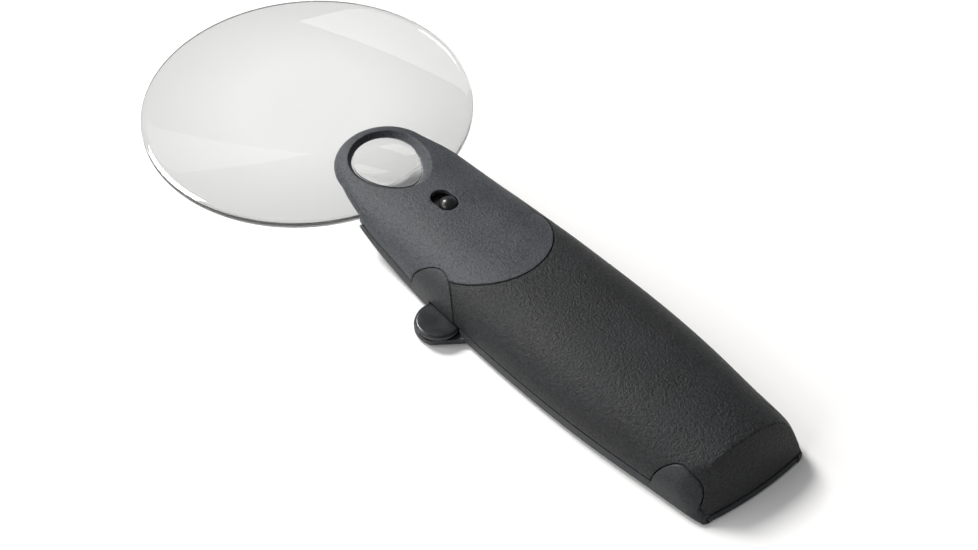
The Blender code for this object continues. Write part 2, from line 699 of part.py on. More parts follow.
def make_wheel_axle(mat):
    profile = [(0.0, 3.9), (AXLE_RADIUS, 3.9), (AXLE_RADIUS, 1.0), (2.0, 1.0), (2.0, 0.7), (0.0, 0.7)]
    return paint(turned("wheel_axle", profile, COLLECTION, (WHEEL_X, WHEEL_Y, 0)), mat)


def make_wheel_contact(mat):
    """Springy leaf from the board to the top of the wheel, as a bent strip along Y."""
    upper = [(9.0, 7.9), (17.0, 7.9), (19.2, 5.4), (20.4, 5.4)]
    lower = [(y, z - 0.35) for y, z in reversed(upper)]
    half = 1.2
    loops = [[(WHEEL_X + dx, y, z) for y, z in upper + lower] for dx in (-half, half)]
    leaf = loft("wheel_contact", loops)
    move_to_part(leaf)
    return paint(leaf, mat)


# ---------------------------------------------------------------- light and power

def make_board(mat):
    board = box("circuit_board", BOARD_X, (-BOARD_HALF_WIDTH, BOARD_HALF_WIDTH), BOARD_Z, COLLECTION)
    for k, (x, y) in enumerate(POSTS):
        boolean(board, post(f"board_hole_{k}", x, y, (4.0, 9.0), 1.1, segments=12))
    return paint(board, mat)


def make_driver_chip(mat):
    chip = box("driver_chip", (-21.0, -14.0), (-2.6, 2.6), (7.6, 9.2), COLLECTION)
    for k in range(4):
        x = -20.2 + 1.8 * k
        leg = box(f"chip_leg_{k}", (x, x + 0.6), (-3.8, 3.8), (7.5, 7.9))
        boolean(chip, leg, "UNION")
    return paint(chip, mat)


def make_inductor(mat):
    profile = [(0.0, 11.2), (3.2, 11.2), (3.2, 10.4), (2.5, 10.0), (2.5, 8.7), (3.2, 8.3), (3.2, 7.5),
               (0.0, 7.5)]
    return paint(turned("inductor", profile, COLLECTION, (-14.0, -9.0, 0), steps=20), mat)


def make_led(mat):
    back, front = LED_X
    length = front - back
    radius = 1.5
    dome = [(radius * math.sin(a), length - radius * (1 - math.cos(a)))
            for a in (math.pi / 2 * k / 5 for k in range(6))]
    profile = dome + [(radius, 0.9), (1.9, 0.9), (1.9, 0.0), (0.0, 0.0)]
    led = turned("led", profile, COLLECTION, (back, 0, LED_Z), (0, math.pi / 2, 0), steps=20)
    for side in (-1, 1):
        y = 0.9 * side
        lead = box(f"led_lead_{side + 1}", (BOARD_X[1] + GAP, back + 0.5), (y - 0.25, y + 0.25),
                   (LED_Z - 0.25, LED_Z + 0.25))
        boolean(led, lead, "UNION")
    return paint(led, mat)


def make_led_window(mat):
    """Clear wedge that fills the opening in the chin, flush with its underside."""
    outline = [(x, base_height(x) + 0.1) for x in spaced(*WINDOW_X, 6)]
    outline += [(WINDOW_X[1], WINDOW_TOP_Z), (WINDOW_X[0], WINDOW_TOP_Z)]
    window = prism("led_window", outline, -WINDOW_HALF_WIDTH, WINDOW_HALF_WIDTH, "Y")
    move_to_part(window)
    return paint(window, mat)


def make_cells(mat):
    """Two AA cells, the left one with its positive end to the tail and the right one to the head."""
    r = CELL_RADIUS
    n = CELL_LENGTH
    profile = [(0.0, n), (2.5, n), (2.5, n - 1.2), (r - 0.9, n - 1.2), (r, n - 2.0), (r, 0.9),
               (r - 0.7, 0.3), (5.2, 0.3), (4.8, 0.0), (0.0, 0.0)]
    left_x = BAY_X[0] - SPRING_GAP
    right_x = BAY_X[0] - GAP - CELL_LENGTH
    left_end, right_end = (left_x, CELL_Y, CELL_Z), (right_x, -CELL_Y, CELL_Z)
    left = turned("battery_left", profile, COLLECTION, left_end, (0, -math.pi / 2, 0), 28)
    right = turned("battery_right", profile, COLLECTION, right_end, (0, math.pi / 2, 0), 28)
    return paint(left, mat), paint(right, mat)


def make_springs(mat):
    turns, per_turn = 3.5, 10
    count = int(turns * per_turn)
    length = SPRING_GAP - 2 * GAP - 0.8
    for name, start, y, direction in (("spring_left", BAY_X[0] - GAP - 0.4, CELL_Y, -1),
                                      ("spring_right", BAY_X[1] + GAP + 0.4, -CELL_Y, 1)):
        points = []
        for k in range(count + 1):
            s = k / count
            radius = 5.0 - 2.4 * s
            a = 2 * math.pi * turns * s
            x = start + direction * length * s
            points.append((x, y + radius * math.cos(a), CELL_Z + radius * math.sin(a)))
        wire(name, points, 0.35, mat)


def make_terminals(mat):
    x = (BAY_X[0], BAY_X[0] + PLATE)
    for name, y in (("terminal_left", CELL_Y), ("terminal_right", -CELL_Y)):
        plate = box(name, x, (y - 6.2, y + 6.2), (3.6, 14.0), COLLECTION)
        tab = box(name + "_tab", (BAY_X[0] + 0.1, BAY_X[0] + 3.4), (y - 0.5, y + 0.5), (10.0, 11.0))
        boolean(plate, tab, "UNION")
        paint(plate, mat)
    bridge = box("bridge_plate", (BAY_X[1] - PLATE, BAY_X[1]), (-14.0, 14.0), (3.6, 13.0), COLLECTION)
    paint(bridge, mat)


def make_wires(red, black, grey):
    start_x = BAY_X[0] + 4.2
    for name, side, mat in (("wire_red", -1, red), ("wire_black", 1, black)):
        y = side * CELL_Y
        points = [(start_x, y, 10.5), (start_x + 3, y, 10.4), (start_x + 7, y * 0.9, 9.4),
                  (start_x + 11, y * 0.75, 8.5), (start_x + 14.5, y * 0.65, 8.1),
                  (start_x + 18, y * 0.6, 8.1)]
        wire(name, points, 0.55, mat)
    back = SWITCH_BODY_X[0] - GAP
    for name, y in (("switch_wire_left", 2.2), ("switch_wire_right", -2.2)):
        points = [(back, y, 14.0), (back - 1.6, y, 13.9), (back - 3.0, y, 12.8), (back - 3.2, y, 11.2),
                  (back - 2.6, y, 9.6), (back - 2.0, y, 7.9)]
        wire(name, points, 0.4, grey)


def make_screws(mat):
    radius, height = SCREW_HEAD
    for name, (x, y, low, high) in {**LENS_SCREWS, **SHELL_SCREWS}.items():
        profile = [(0.0, high), (0.5, high), (SCREW_RADIUS, high - 1.2), (SCREW_RADIUS, low + height),
                   (radius, low + height), (radius, low + 0.4), (radius - 0.5, low), (0.0, low)]
        screw = turned(name, profile, COLLECTION, (x, y, 0), steps=16)
        for k, (sx, sy) in enumerate(((1.2, 0.25), (0.25, 1.2))):
            recess = box(f"{name}_recess_{k}", (x - sx, x + sx), (y - sy, y + sy), (low - 1, low + 0.7))
            boolean(screw, recess)
        paint(screw, mat)


def main():
    clear_scene()
    clear = (0.92, 0.94, 0.95)
    lens_mat = material("clear_acrylic", clear, 0.05, alpha=0.3)
    window_mat = material("frosted_acrylic", clear, 0.25, alpha=0.5)
    cover_mat = material("grey_plastic", (0.078, 0.085, 0.096), 0.55)
    grip_mat = material("charcoal_plastic", (0.03, 0.03, 0.032), 0.65)
    shell_mat = material("warm_grey_plastic", (0.085, 0.082, 0.078), 0.6)
    black_mat = material("black_plastic", (0.01, 0.01, 0.011), 0.35)
    wheel_mat = material("dark_plastic", (0.025, 0.03, 0.034), 0.45)
    steel_mat = material("steel", (0.6, 0.6, 0.58), 0.3, 1.0)
    cell_mat = material("cell_sleeve", (0.35, 0.36, 0.37), 0.35, 0.6)
    board_mat = material("board_green", (0.02, 0.12, 0.06), 0.5)
    led_mat = material("led_epoxy", (0.9, 0.9, 0.8), 0.15)
    red_mat = material("red_insulation", (0.5, 0.02, 0.02), 0.5)
    dark_mat = material("black_insulation", (0.015, 0.015, 0.015), 0.5)
    grey_mat = material("grey_insulation", (0.3, 0.3, 0.3), 0.5)

    make_main_lens(lens_mat)
    make_spot_lens(material("spot_acrylic", clear, 0.05, alpha=0.3))
    hollow = cavity()
    make_head_cover(cover_mat, hollow)
    make_grip_cover(grip_mat, hollow)
    make_lower_shell(shell_mat, hollow)
    make_battery_door(material("door_plastic", (0.08, 0.077, 0.073), 0.6))
    make_switch_knob(black_mat)
    make_switch_body(material("switch_case", (0.12, 0.12, 0.13), 0.4, 0.5))
    make_thumbwheel(wheel_mat)
    make_wheel_axle(steel_mat)
    make_wheel_contact(material("spring_bronze", (0.6, 0.4, 0.2), 0.3, 1.0))
    make_board(board_mat)
    make_driver_chip(material("chip_epoxy", (0.02, 0.02, 0.02), 0.4))
    make_inductor(material("ferrite", (0.05, 0.045, 0.04), 0.6))
    make_led(led_mat)
    make_led_window(window_mat)
    make_cells(cell_mat)
    make_springs(steel_mat)
    make_terminals(steel_mat)
    make_wires(red_mat, dark_mat, grey_mat)
    make_screws(steel_mat)


main()
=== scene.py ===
"""Looks of the low vision magnifier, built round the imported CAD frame.

The frame's axes are +X from the tail to the lens, +Y to the thumbwheel's side and +Z up.
The body's shape follows the same curves as the CAD solids, in millimetres times MM, with
finer steps, rounded edges and moulded detail.
"""
import math

import bmesh
import bpy
from mathutils import Matrix, Vector


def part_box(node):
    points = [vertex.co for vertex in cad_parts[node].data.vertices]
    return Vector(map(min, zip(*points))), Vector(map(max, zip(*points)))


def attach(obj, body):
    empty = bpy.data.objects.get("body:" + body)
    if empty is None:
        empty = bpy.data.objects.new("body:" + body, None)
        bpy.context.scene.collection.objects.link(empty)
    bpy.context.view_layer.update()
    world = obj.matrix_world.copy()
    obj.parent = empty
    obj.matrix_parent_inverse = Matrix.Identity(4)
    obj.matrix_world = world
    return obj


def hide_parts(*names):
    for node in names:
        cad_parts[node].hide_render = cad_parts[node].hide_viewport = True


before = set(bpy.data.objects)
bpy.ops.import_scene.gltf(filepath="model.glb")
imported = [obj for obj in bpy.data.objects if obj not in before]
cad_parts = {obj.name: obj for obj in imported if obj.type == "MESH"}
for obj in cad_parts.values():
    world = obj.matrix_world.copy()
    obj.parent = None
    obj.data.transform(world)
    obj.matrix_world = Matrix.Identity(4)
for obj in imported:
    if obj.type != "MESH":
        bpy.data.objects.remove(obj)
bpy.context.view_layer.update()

MM = 0.001
GAP = 0.3                       # clearance between neighbouring pieces

# Body curves, as in the CAD: (x, value) keys from the head to the tail
HALF_WIDTH = ((33.5, 16.7), (27, 18.6), (20, 20.2), (12, 21.1), (0, 22.0), (-12, 22.9),
              (-32, 23.9), (-55, 24.3), (-75, 23.9), (-90, 22.9), (-105, 21.4), (-118, 20.3),
              (-134, 18.8))
CROWN = ((48, 18.0), (31, 17.9), (17, 18.1), (3, 18.6), (-18, 19.1), (-35, 19.6), (-58, 20.1),
         (-78, 20.1), (-98, 19.6), (-111, 18.8), (-120, 18.0), (-134, 16.2))
KNEE = ((25, 12.5), (15, 11.0), (0, 8.5), (-15, 6.0), (-25, 5.0), (-134, 5.0))
SEAM = ((22, 9.2), (12, 8.0), (3, 7.3), (-5, 6.2), (-15, 5.3), (-25, 5.0), (-134, 5.0))
SQUARENESS = ((48, 3.0), (36, 2.8), (30, 2.4), (24, 2.2), (14, 2.2), (0, 2.5), (-12, 2.8),
              (-24, 2.9), (-45, 2.7), (-70, 2.6), (-90, 2.5), (-108, 2.35), (-134, 2.4))
WALL = 2.0
CHIN_X = (-5.0, 22.0)           # the underside rises from the table to the lens between these
CHIN_RISE = 7.0
FLARE = 1.0                     # the lower shell stands proud of the head cover at its nose
CORNER = (2.8, 1.8)             # width and height of the rounded edge along the base
CHIN_CORNER = (3.0, 1.7)        # extra width and height of that edge at the nose
CHIN_CORNER_X = (-12.0, 2.0)    # its height grows between these
SHELL_FRONT_X = 19.7
CAVITY_FRONT_X = 5.0
CORNER_STEPS = 6
SHOULDER_STEPS = 30

# Ring round the spot lens
RING_X = 31.0
RING_RADIUS = 16.9
RING_TANGENT_X = 33.5           # where the ring's circle runs into the straight neck
HOLE = (31.8, 10.8, 14.9, 10.7)     # widest x, reach to the lens, reach to the tail, half width
COUNTERSINK = (29.5, 14.2, 15.4, 13.5)
COUNTERSINK_Z = (15.0, 17.9)
EGG_POINT = 1.14                    # 1 is an ellipse; more is more pointed
SPOT_RADIUS = 10.2                  # of the dome on the egg-shaped spot lens
SPOT_Z = (14.5, 15.0, 16.1)         # underside, top of the plate and top of the dome

# Slanted, slightly bowed tail face
TAIL_X = -127.4
TAIL_BOW_RADIUS = 120.0
TAIL_LEAN = 0.43
TAIL_SKEW = 5.5                 # degrees; the face looks a little towards the wheel's side
TAIL_CORNER_X = (-123.2, -129.0)    # where the rounded upright corners start, per side
TAIL_CORNER = (19.2, 0.96, 0.7)     # their half width there, its gain per mm forward, loss per mm up
TAIL_CORNER_BLEND = 1.5
TAIL_FOOT = (2.2, 3.0)          # the base runs further out into the corners, up to this height
BODY_END_X = -131.0
PAST_TAIL_X = -140.0            # cutters and blanks that run out at the tail end here

# Parting lines
PANEL_X = -16.0                 # middle of the head cover's half-oval rear edge
PANEL_RADII = (20.8, 20.0)
HEAD_TAB = (-17.4, 5.8, 10.0)   # x, z and radius of the lower shell's half-round side tabs
TAIL_TAB = (-112.7, 4.6, 9.5)   # x, z and height of the arched side tabs at the tail
TAIL_TAB_REACH = (6.3, 8.2)     # forwards and backwards
TAIL_TAB_FOOT_X = -124.3
TAIL_TAB_INNER_Y = 13.0
TAB_STEPS = 60
TAIL_TAB_END_X = -121.0
TAIL_SEAM_Z = 2.0

# Lens
LENS_X = 72.0
LENS_Z = 11.0
LENS_RADIUS = 55.0
LENS_EDGE = 1.8                 # thickness at the rim
LENS_SAG = 2.4                  # rise of each face from rim to middle
LENS_STEPS = 256
TONGUE_X = (6.0, 24.0)
TONGUE_HALF_WIDTH = 13.0
TONGUE_Z = (9.3, 12.7)

# Switch, thumbwheel and its ledge
SLOT_X = 3.0
SLOT_LENGTH = 9.9
SLOT_WIDTH = 6.6
KNOB_RADIUS = 3.0
KNOB_DOME = 2.4
FLANGE_Z = (15.5, 16.1)
FLANGE_POCKET = ((4.0, 12.4), (-4.8, 4.8), (12.6, 16.9))
STEM_Z = (14.2, 15.8)
WHEEL_X, WHEEL_Y = -23.0, 25.6
WHEEL_RADIUS = 7.2
WHEEL_Z = (2.9, 4.7)
WHEEL_RIBS = 90
AXLE_BORE_RADIUS = 1.45
LEDGE_Y = 24.9
LEDGE_RADIUS = 7.9
LEDGE_Z = (0.6, 2.6)
LEDGE_TIP = (-34.0, 22.6)

# Battery bay, its ribs and its door
BAY_X = (-49.7, -104.8)
CELL_Y = 7.7
BAY_RIBS = {"front_rib": ((-49.0, -47.5), (-19.0, 19.0), (1.0, 12.0)),
            "rear_rib": ((-107.0, -105.5), (-16.1, 16.1), (2.2, 12.0)),
            "rear_bridge": ((-117.5, -105.5), (-18.6, 18.6), (2.2, 5.0))}
SLEEVE_BAND_X = {"battery_left": -92.5, "battery_right": -62.5}
DOOR_FRONT_X = -49.5
DOOR_HALF_WIDTH = 15.9
DOOR_Z = (0.3, 1.8)
DOOR_TONGUE = (1.0, 0.9, 1.5)   # reach, bottom and top of the sliding tongues
THUMB_GROOVES = 7

# Light, board and screws: x, y and bottom of the head
LED_ROOM = ((2.0, 8.6), (-2.2, 2.2), (4.4, 8.6))
WINDOW_X = (8.6, 17.6)
WINDOW_HALF_WIDTH = 4.7
WINDOW_TOP_Z = 7.7
BOARD_POSTS = [(x, y) for x in (-27.0, -8.0) for y in (-10.0, 10.0)]
SCREWS = {"lens_screw_left": (12.0, 8.0, 4.7), "lens_screw_right": (12.0, -8.0, 4.7),
          "shell_screw_left": (-36.0, 16.0, 0.6), "shell_screw_right": (-36.0, -16.0, 0.6),
          "shell_screw_rear": (-114.0, 0.0, 2.2)}
SCREW_HEAD = (2.1, 1.3)
SCREW_RADIUS = 1.1
SCREW_PITCH = 0.8
SCREW_HOLE_RADIUS = 1.4
BOSS_RADIUS = 3.2

# Painted shade in the lens's colour: how much light the acrylic passes in the middle, near the rim
# and at the ground edge, darkened to stand in for the shade under the lens, a darker rim zone and a
# dark rim line
LENS_CENTRE_SHADE = (0.72, 0.723, 0.723)
LENS_OUTER_SHADE = (0.60, 0.606, 0.606)
LENS_EDGE_SHADE = (0.3, 0.305, 0.305)
ACRYLIC_IOR = 1.49

# Moulded plastics: colour, roughness, grain and depth in millimetres, contrast
HEAD_PLASTIC = ((0.035, 0.039, 0.045), 0.55, 0.7, 0.22, 0.6)
GRIP_PLASTIC = ((0.0080, 0.0088, 0.0102), 0.56, 0.8, 0.4, 1.0)
SHELL_PLASTIC = ((0.019, 0.021, 0.023), 0.52, 0.7, 0.2, 0.55)
DOOR_PLASTIC = ((0.018, 0.020, 0.022), 0.52, 0.7, 0.18, 0.55)

# Stage, in metres
CAMERA_PLACE = (-0.2620, 0.2234, 0.3697)
CAMERA_AHEAD = (0.4933, -0.4504, -0.7442)
CAMERA_LENS = 58.9
LIGHT_TARGET = (-0.03, 0.0, 0.0)
WORLD_LIGHT = 0.2
FLOOR_REACH = 4.0
FLOOR_DROP = 0.0002             # keeps the floor clear of the base


# ---------------------------------------------------------------- materials

def new_material(name):
    mat = bpy.data.materials.new(name)
    mat.use_nodes = True
    nodes = mat.node_tree.nodes
    return mat, nodes, mat.node_tree.links, nodes["Principled BSDF"]


def noise(nodes, links, size, detail=3.0, roughness=0.55):
    """Noise whose blobs are about size millimetres across, fixed to the object."""
    place = nodes.new("ShaderNodeTexCoord")
    tex = nodes.new("ShaderNodeTexNoise")
    tex.inputs["Scale"].default_value = 1.0 / (size * MM)
    tex.inputs["Detail"].default_value = detail
    tex.inputs["Roughness"].default_value = roughness
    links.new(place.outputs["Object"], tex.inputs["Vector"])
    return tex.outputs["Fac"]


def spread(nodes, links, source, low, high, start=0.3, end=0.7):
    """Map a texture's middle range onto low to high."""
    fit = nodes.new("ShaderNodeMapRange")
    fit.inputs["From Min"].default_value = start
    fit.inputs["From Max"].default_value = end
    fit.inputs["To Min"].default_value = low
    fit.inputs["To Max"].default_value = high
    links.new(source, fit.inputs["Value"])
    return fit.outputs["Result"]


def bump(nodes, links, source, height, shader):
    """Bump of a height in millimetres."""
    node = nodes.new("ShaderNodeBump")
    node.inputs["Distance"].default_value = height * MM
    links.new(source, node.inputs["Height"])
    links.new(node.outputs["Normal"], shader.inputs["Normal"])


def tint(nodes, links, source, dark, light, shader):
    """Base colour between two colours."""
    mix = nodes.new("ShaderNodeMix")
    mix.data_type = "RGBA"
    mix.inputs["A"].default_value = (*dark, 1.0)
    mix.inputs["B"].default_value = (*light, 1.0)
    links.new(source, mix.inputs["Factor"])
    links.new(mix.outputs["Result"], shader.inputs["Base Color"])
    return mix


def scaled(colour, factor):
    return tuple(channel * factor for channel in colour)


def moulded_plastic(name, colour, roughness, grain, depth, contrast):
    """Spark-eroded mould texture: fine grain, uneven shine and a slight mottle."""
    mat, nodes, links, shader = new_material(name)
    shader.inputs["Specular IOR Level"].default_value = 0.38
    fine = noise(nodes, links, grain, 2.0, 0.8)
    cloud = noise(nodes, links, 14.0, 2.0)
    bump(nodes, links, fine, depth, shader)
    mottle = nodes.new("ShaderNodeMath")
    mottle.operation = "MULTIPLY_ADD"
    mottle.inputs[1].default_value = 0.75
    links.new(fine, mottle.inputs[0])
    share = nodes.new("ShaderNodeMath")
    share.operation = "MULTIPLY"
    share.inputs[1].default_value = 0.25
    links.new(cloud, share.inputs[0])
    links.new(share.outputs[0], mottle.inputs[2])
    tone = spread(nodes, links, mottle.outputs[0], 0.0, 1.0, 0.36, 0.64)
    tint(nodes, links, tone, scaled(colour, 1 - contrast), scaled(colour, 1 + contrast), shader)
    shine = spread(nodes, links, cloud, roughness - 0.04, roughness + 0.05)
    links.new(shine, shader.inputs["Roughness"])
    return mat


def smooth_plastic(name, colour, roughness):
    """Polished mould surface with a faint mottle and uneven shine."""
    mat, nodes, links, shader = new_material(name)
    bump(nodes, links, noise(nodes, links, 0.6), 0.01, shader)
    tint(nodes, links, noise(nodes, links, 9.0), scaled(colour, 0.88), scaled(colour, 1.12), shader)
    shine = spread(nodes, links, noise(nodes, links, 3.0), roughness - 0.05, roughness + 0.06)
    links.new(shine, shader.inputs["Roughness"])
    return mat


def from_lens_axis(nodes, links):
    """Distance from the main lens's axis."""
    place = nodes.new("ShaderNodeTexCoord")
    centre = nodes.new("ShaderNodeVectorMath")
    centre.operation = "SUBTRACT"
    centre.inputs[1].default_value = (LENS_X * MM, 0.0, 0.0)
    flat = nodes.new("ShaderNodeVectorMath")
    flat.operation = "MULTIPLY"
    flat.inputs[1].default_value = (1.0, 1.0, 0.0)
    radius = nodes.new("ShaderNodeVectorMath")
    radius.operation = "LENGTH"
    links.new(place.outputs["Object"], centre.inputs[0])
    links.new(centre.outputs[0], flat.inputs[0])
    links.new(flat.outputs[0], radius.inputs[0])
    return radius.outputs["Value"]


def acrylic(name, roughness):
    """Clear acrylic and the roughness of its faint handling haze, not yet linked."""
    mat, nodes, links, shader = new_material(name)
    shader.inputs["Transmission Weight"].default_value = 1.0
    shader.inputs["IOR"].default_value = ACRYLIC_IOR
    smear = noise(nodes, links, 22.0, 5.0, 0.6)
    haze = spread(nodes, links, smear, roughness, roughness + 0.02, 0.45, 0.75)
    return mat, nodes, links, shader, haze


def clear_plastic(name, colour, roughness):
    mat, nodes, links, shader, haze = acrylic(name, roughness)
    shader.inputs["Base Color"].default_value = (*colour, 1.0)
    links.new(haze, shader.inputs["Roughness"])
    return mat


def shaded_lens_acrylic(name):
    """Polished acrylic whose edge is ground, with painted shade: greyer towards the rim and dark at
    the ground edge.
    """
    mat, nodes, links, shader, haze = acrylic(name, 0.0)
    radius = from_lens_axis(nodes, links)
    rim = LENS_RADIUS * MM
    outwards = spread(nodes, links, radius, 0.0, 1.0, 0.4 * rim, 0.98 * rim)
    edge = spread(nodes, links, radius, 0.0, 1.0, rim - 0.4 * MM, rim - 0.1 * MM)
    # painted shade: the colour greys towards the rim and darkens at the ground edge
    shade_mix = tint(nodes, links, outwards, LENS_CENTRE_SHADE, LENS_OUTER_SHADE, shader)
    rim_shade_mix = tint(nodes, links, edge, LENS_OUTER_SHADE, LENS_EDGE_SHADE, shader)
    links.new(shade_mix.outputs["Result"], rim_shade_mix.inputs["A"])
    shine = nodes.new("ShaderNodeMath")
    shine.operation = "MULTIPLY_ADD"
    shine.inputs[1].default_value = 0.4
    links.new(edge, shine.inputs[0])
    links.new(haze, shine.inputs[2])
    links.new(shine.outputs[0], shader.inputs["Roughness"])
    return mat


def metal(name, colour, roughness):
    """Plated sheet or wire with faint scratches."""
    mat, nodes, links, shader = new_material(name)
    shader.inputs["Metallic"].default_value = 1.0
    tint(nodes, links, noise(nodes, links, 2.0), scaled(colour, 0.85), colour, shader)
    bump(nodes, links, noise(nodes, links, 0.25), 0.006, shader)
    shine = spread(nodes, links, noise(nodes, links, 1.2), roughness - 0.05, roughness + 0.1)
    links.new(shine, shader.inputs["Roughness"])
    return mat


def cell_sleeve(name, band_x, side):
    """Plain sleeve: dark body, with a copper band past band_x on the positive end's side."""
    mat, nodes, links, shader = new_material(name)
    place = nodes.new("ShaderNodeTexCoord")
    axes = nodes.new("ShaderNodeSeparateXYZ")
    links.new(place.outputs["Object"], axes.inputs[0])
    edge = nodes.new("ShaderNodeMath")
    edge.operation = side
    edge.inputs[1].default_value = band_x * MM
    links.new(axes.outputs["X"], edge.inputs[0])
    tint(nodes, links, edge.outputs[0], (0.02, 0.02, 0.022), (0.55, 0.22, 0.07), shader)
    shader.inputs["Metallic"].default_value = 0.7
    bump(nodes, links, noise(nodes, links, 1.5), 0.01, shader)
    links.new(spread(nodes, links, noise(nodes, links, 5.0), 0.25, 0.4), shader.inputs["Roughness"])
    return mat


def board_material(name):
    """Solder mask with faint copper tracks under it."""
    mat, nodes, links, shader = new_material(name)
    place = nodes.new("ShaderNodeTexCoord")
    tracks = nodes.new("ShaderNodeTexBrick")
    tracks.inputs["Scale"].default_value = 160.0
    tracks.inputs["Mortar Size"].default_value = 0.06
    tracks.inputs["Color1"].default_value = (0.012, 0.07, 0.035, 1)
    tracks.inputs["Color2"].default_value = (0.015, 0.085, 0.042, 1)
    tracks.inputs["Mortar"].default_value = (0.05, 0.2, 0.1, 1)
    links.new(place.outputs["Object"], tracks.inputs["Vector"])
    links.new(tracks.outputs["Color"], shader.inputs["Base Color"])
    bump(nodes, links, tracks.outputs["Fac"], 0.03, shader)
    links.new(spread(nodes, links, noise(nodes, links, 4.0), 0.3, 0.45), shader.inputs["Roughness"])
    return mat


# ---------------------------------------------------------------- mesh helpers

CUTTERS = []


def add_object(name, mesh):
    obj = bpy.data.objects.new(name, mesh)
    bpy.context.scene.collection.objects.link(obj)
    return obj


def finish_mesh(name, bm):
    """Turn a bmesh in millimetres into a named object in metres."""
    bmesh.ops.recalc_face_normals(bm, faces=bm.faces[:])
    bmesh.ops.scale(bm, vec=(MM, MM, MM), verts=bm.verts[:])
    mesh = bpy.data.meshes.new(name)
    bm.to_mesh(mesh)
    bm.free()
    return add_object(name, mesh)


def boolean(target, tool, operation="DIFFERENCE"):
    modifier = target.modifiers.new(tool.name, "BOOLEAN")
    modifier.operation = operation
    modifier.solver = "EXACT"
    modifier.object = tool
    CUTTERS.append(tool)
    return target


def box(name, x, y, z):
    """Box between two values on each axis."""
    bm = bmesh.new()
    bmesh.ops.create_cube(bm, size=1.0)
    bmesh.ops.scale(bm, vec=(abs(x[1] - x[0]), y[1] - y[0], z[1] - z[0]), verts=bm.verts[:])
    middle = Vector(((x[0] + x[1]) / 2, (y[0] + y[1]) / 2, (z[0] + z[1]) / 2))
    bmesh.ops.translate(bm, vec=middle, verts=bm.verts[:])
    return finish_mesh(name, bm)


def post(name, x, y, z, radius, segments=48):
    """Upright cylinder between two heights."""
    bm = bmesh.new()
    bmesh.ops.create_cone(bm, cap_ends=True, segments=segments, radius1=radius, radius2=radius,
                          depth=z[1] - z[0])
    bmesh.ops.translate(bm, vec=(x, y, (z[0] + z[1]) / 2), verts=bm.verts[:])
    return finish_mesh(name, bm)


def prism(name, outline, low, high, axis):
    """Flat outline pushed along an axis: (x, y) along Z, or (x, z) along Y."""
    bm = bmesh.new()
    if axis == "Z":
        corners = [bm.verts.new((a, b, low)) for a, b in outline]
        push = (0, 0, high - low)
    else:
        corners = [bm.verts.new((a, low, b)) for a, b in outline]
        push = (0, high - low, 0)
    face = bm.faces.new(corners)
    pushed = bmesh.ops.extrude_face_region(bm, geom=[face])["geom"]
    bmesh.ops.translate(bm, vec=push, verts=[v for v in pushed if isinstance(v, bmesh.types.BMVert)])
    return finish_mesh(name, bm)


def loft(name, loops, tip=None):
    """Closed skin over a row of equal loops, flat at the ends or closed to a tip before the first."""
    bm = bmesh.new()
    rows = [[bm.verts.new(point) for point in loop] for loop in loops]
    count = len(rows[0])
    for near, far in zip(rows, rows[1:]):
        for i in range(count):
            j = (i + 1) % count
            bm.faces.new((near[i], near[j], far[j], far[i]))
    bm.faces.new(rows[-1])
    if tip is None:
        bm.faces.new(rows[0])
    else:
        point = bm.verts.new(tip)
        for i in range(count):
            bm.faces.new((rows[0][i], rows[0][(i + 1) % count], point))
    return finish_mesh(name, bm)


def turned(name, profile, x, y, z=0.0, steps=96, ripple=None):
    """Solid of revolution about an upright axis; ripple(radius, angle) may move the radius."""
    bm = bmesh.new()
    rows = []
    for radius, height in profile:
        if radius < 1e-6:
            rows.append([bm.verts.new((x, y, z + height))])
            continue
        row = []
        for k in range(steps):
            a = 2 * math.pi * k / steps
            r = ripple(radius, a) if ripple else radius
            row.append(bm.verts.new((x + r * math.cos(a), y + r * math.sin(a), z + height)))
        rows.append(row)
    for upper, lower in zip(rows, rows[1:]):
        for k in range(steps):
            j = (k + 1) % steps
            ring = [upper[k % len(upper)], upper[j % len(upper)],
                    lower[j % len(lower)], lower[k % len(lower)]]
            corners = list(dict.fromkeys(ring))
            if len(corners) > 2:
                bm.faces.new(corners)
    return finish_mesh(name, bm)


def bake(obj):
    """Apply the modifiers."""
    graph = bpy.context.evaluated_depsgraph_get()
    mesh = bpy.data.meshes.new_from_object(obj.evaluated_get(graph))
    obj.modifiers.clear()
    obj.data = mesh
    return obj


def soften(obj, width):
    """Round the sharp edges by width millimetres."""
    merge = obj.modifiers.new("weld", "WELD")
    merge.merge_threshold = 0.06 * MM
    edge = obj.modifiers.new("edge", "BEVEL")
    edge.width = width * MM
    edge.segments = 2
    edge.limit_method = "ANGLE"
    edge.angle_limit = math.radians(35.0)
    edge.use_clamp_overlap = False
    edge.miter_outer = "MITER_ARC"


def dress(obj, mat, body, replaced, angle=40.0):
    """Give a finished piece its material and body, and hide the CAD node it replaces."""
    obj.data.materials.clear()
    obj.data.materials.append(mat)
    obj.data.shade_smooth()
    obj.data.set_sharp_from_angle(angle=math.radians(angle))
    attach(obj, body)
    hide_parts(replaced)
    return obj


def remove_cutters():
    for tool in set(CUTTERS):
        bpy.data.objects.remove(tool)
    CUTTERS.clear()


# ---------------------------------------------------------------- body shape

def along(keys, x):
    """Smooth curve through (x, value) keys that run from the head to the tail."""
    if x >= keys[0][0]:
        return keys[0][1]
    if x <= keys[-1][0]:
        return keys[-1][1]
    i = max(k for k in range(len(keys) - 1) if keys[k][0] >= x)

    def slope(k):
        ahead = keys[max(k - 1, 0)]
        behind = keys[min(k + 1, len(keys) - 1)]
        return (behind[1] - ahead[1]) / (behind[0] - ahead[0])

    (x0, v0), (x1, v1) = keys[i], keys[i + 1]
    run = x1 - x0
    s = (x - x0) / run
    return ((2 * s ** 3 - 3 * s ** 2 + 1) * v0 + (s ** 3 - 2 * s ** 2 + s) * slope(i) * run
            + (3 * s ** 2 - 2 * s ** 3) * v1 + (s ** 3 - s ** 2) * slope(i + 1) * run)


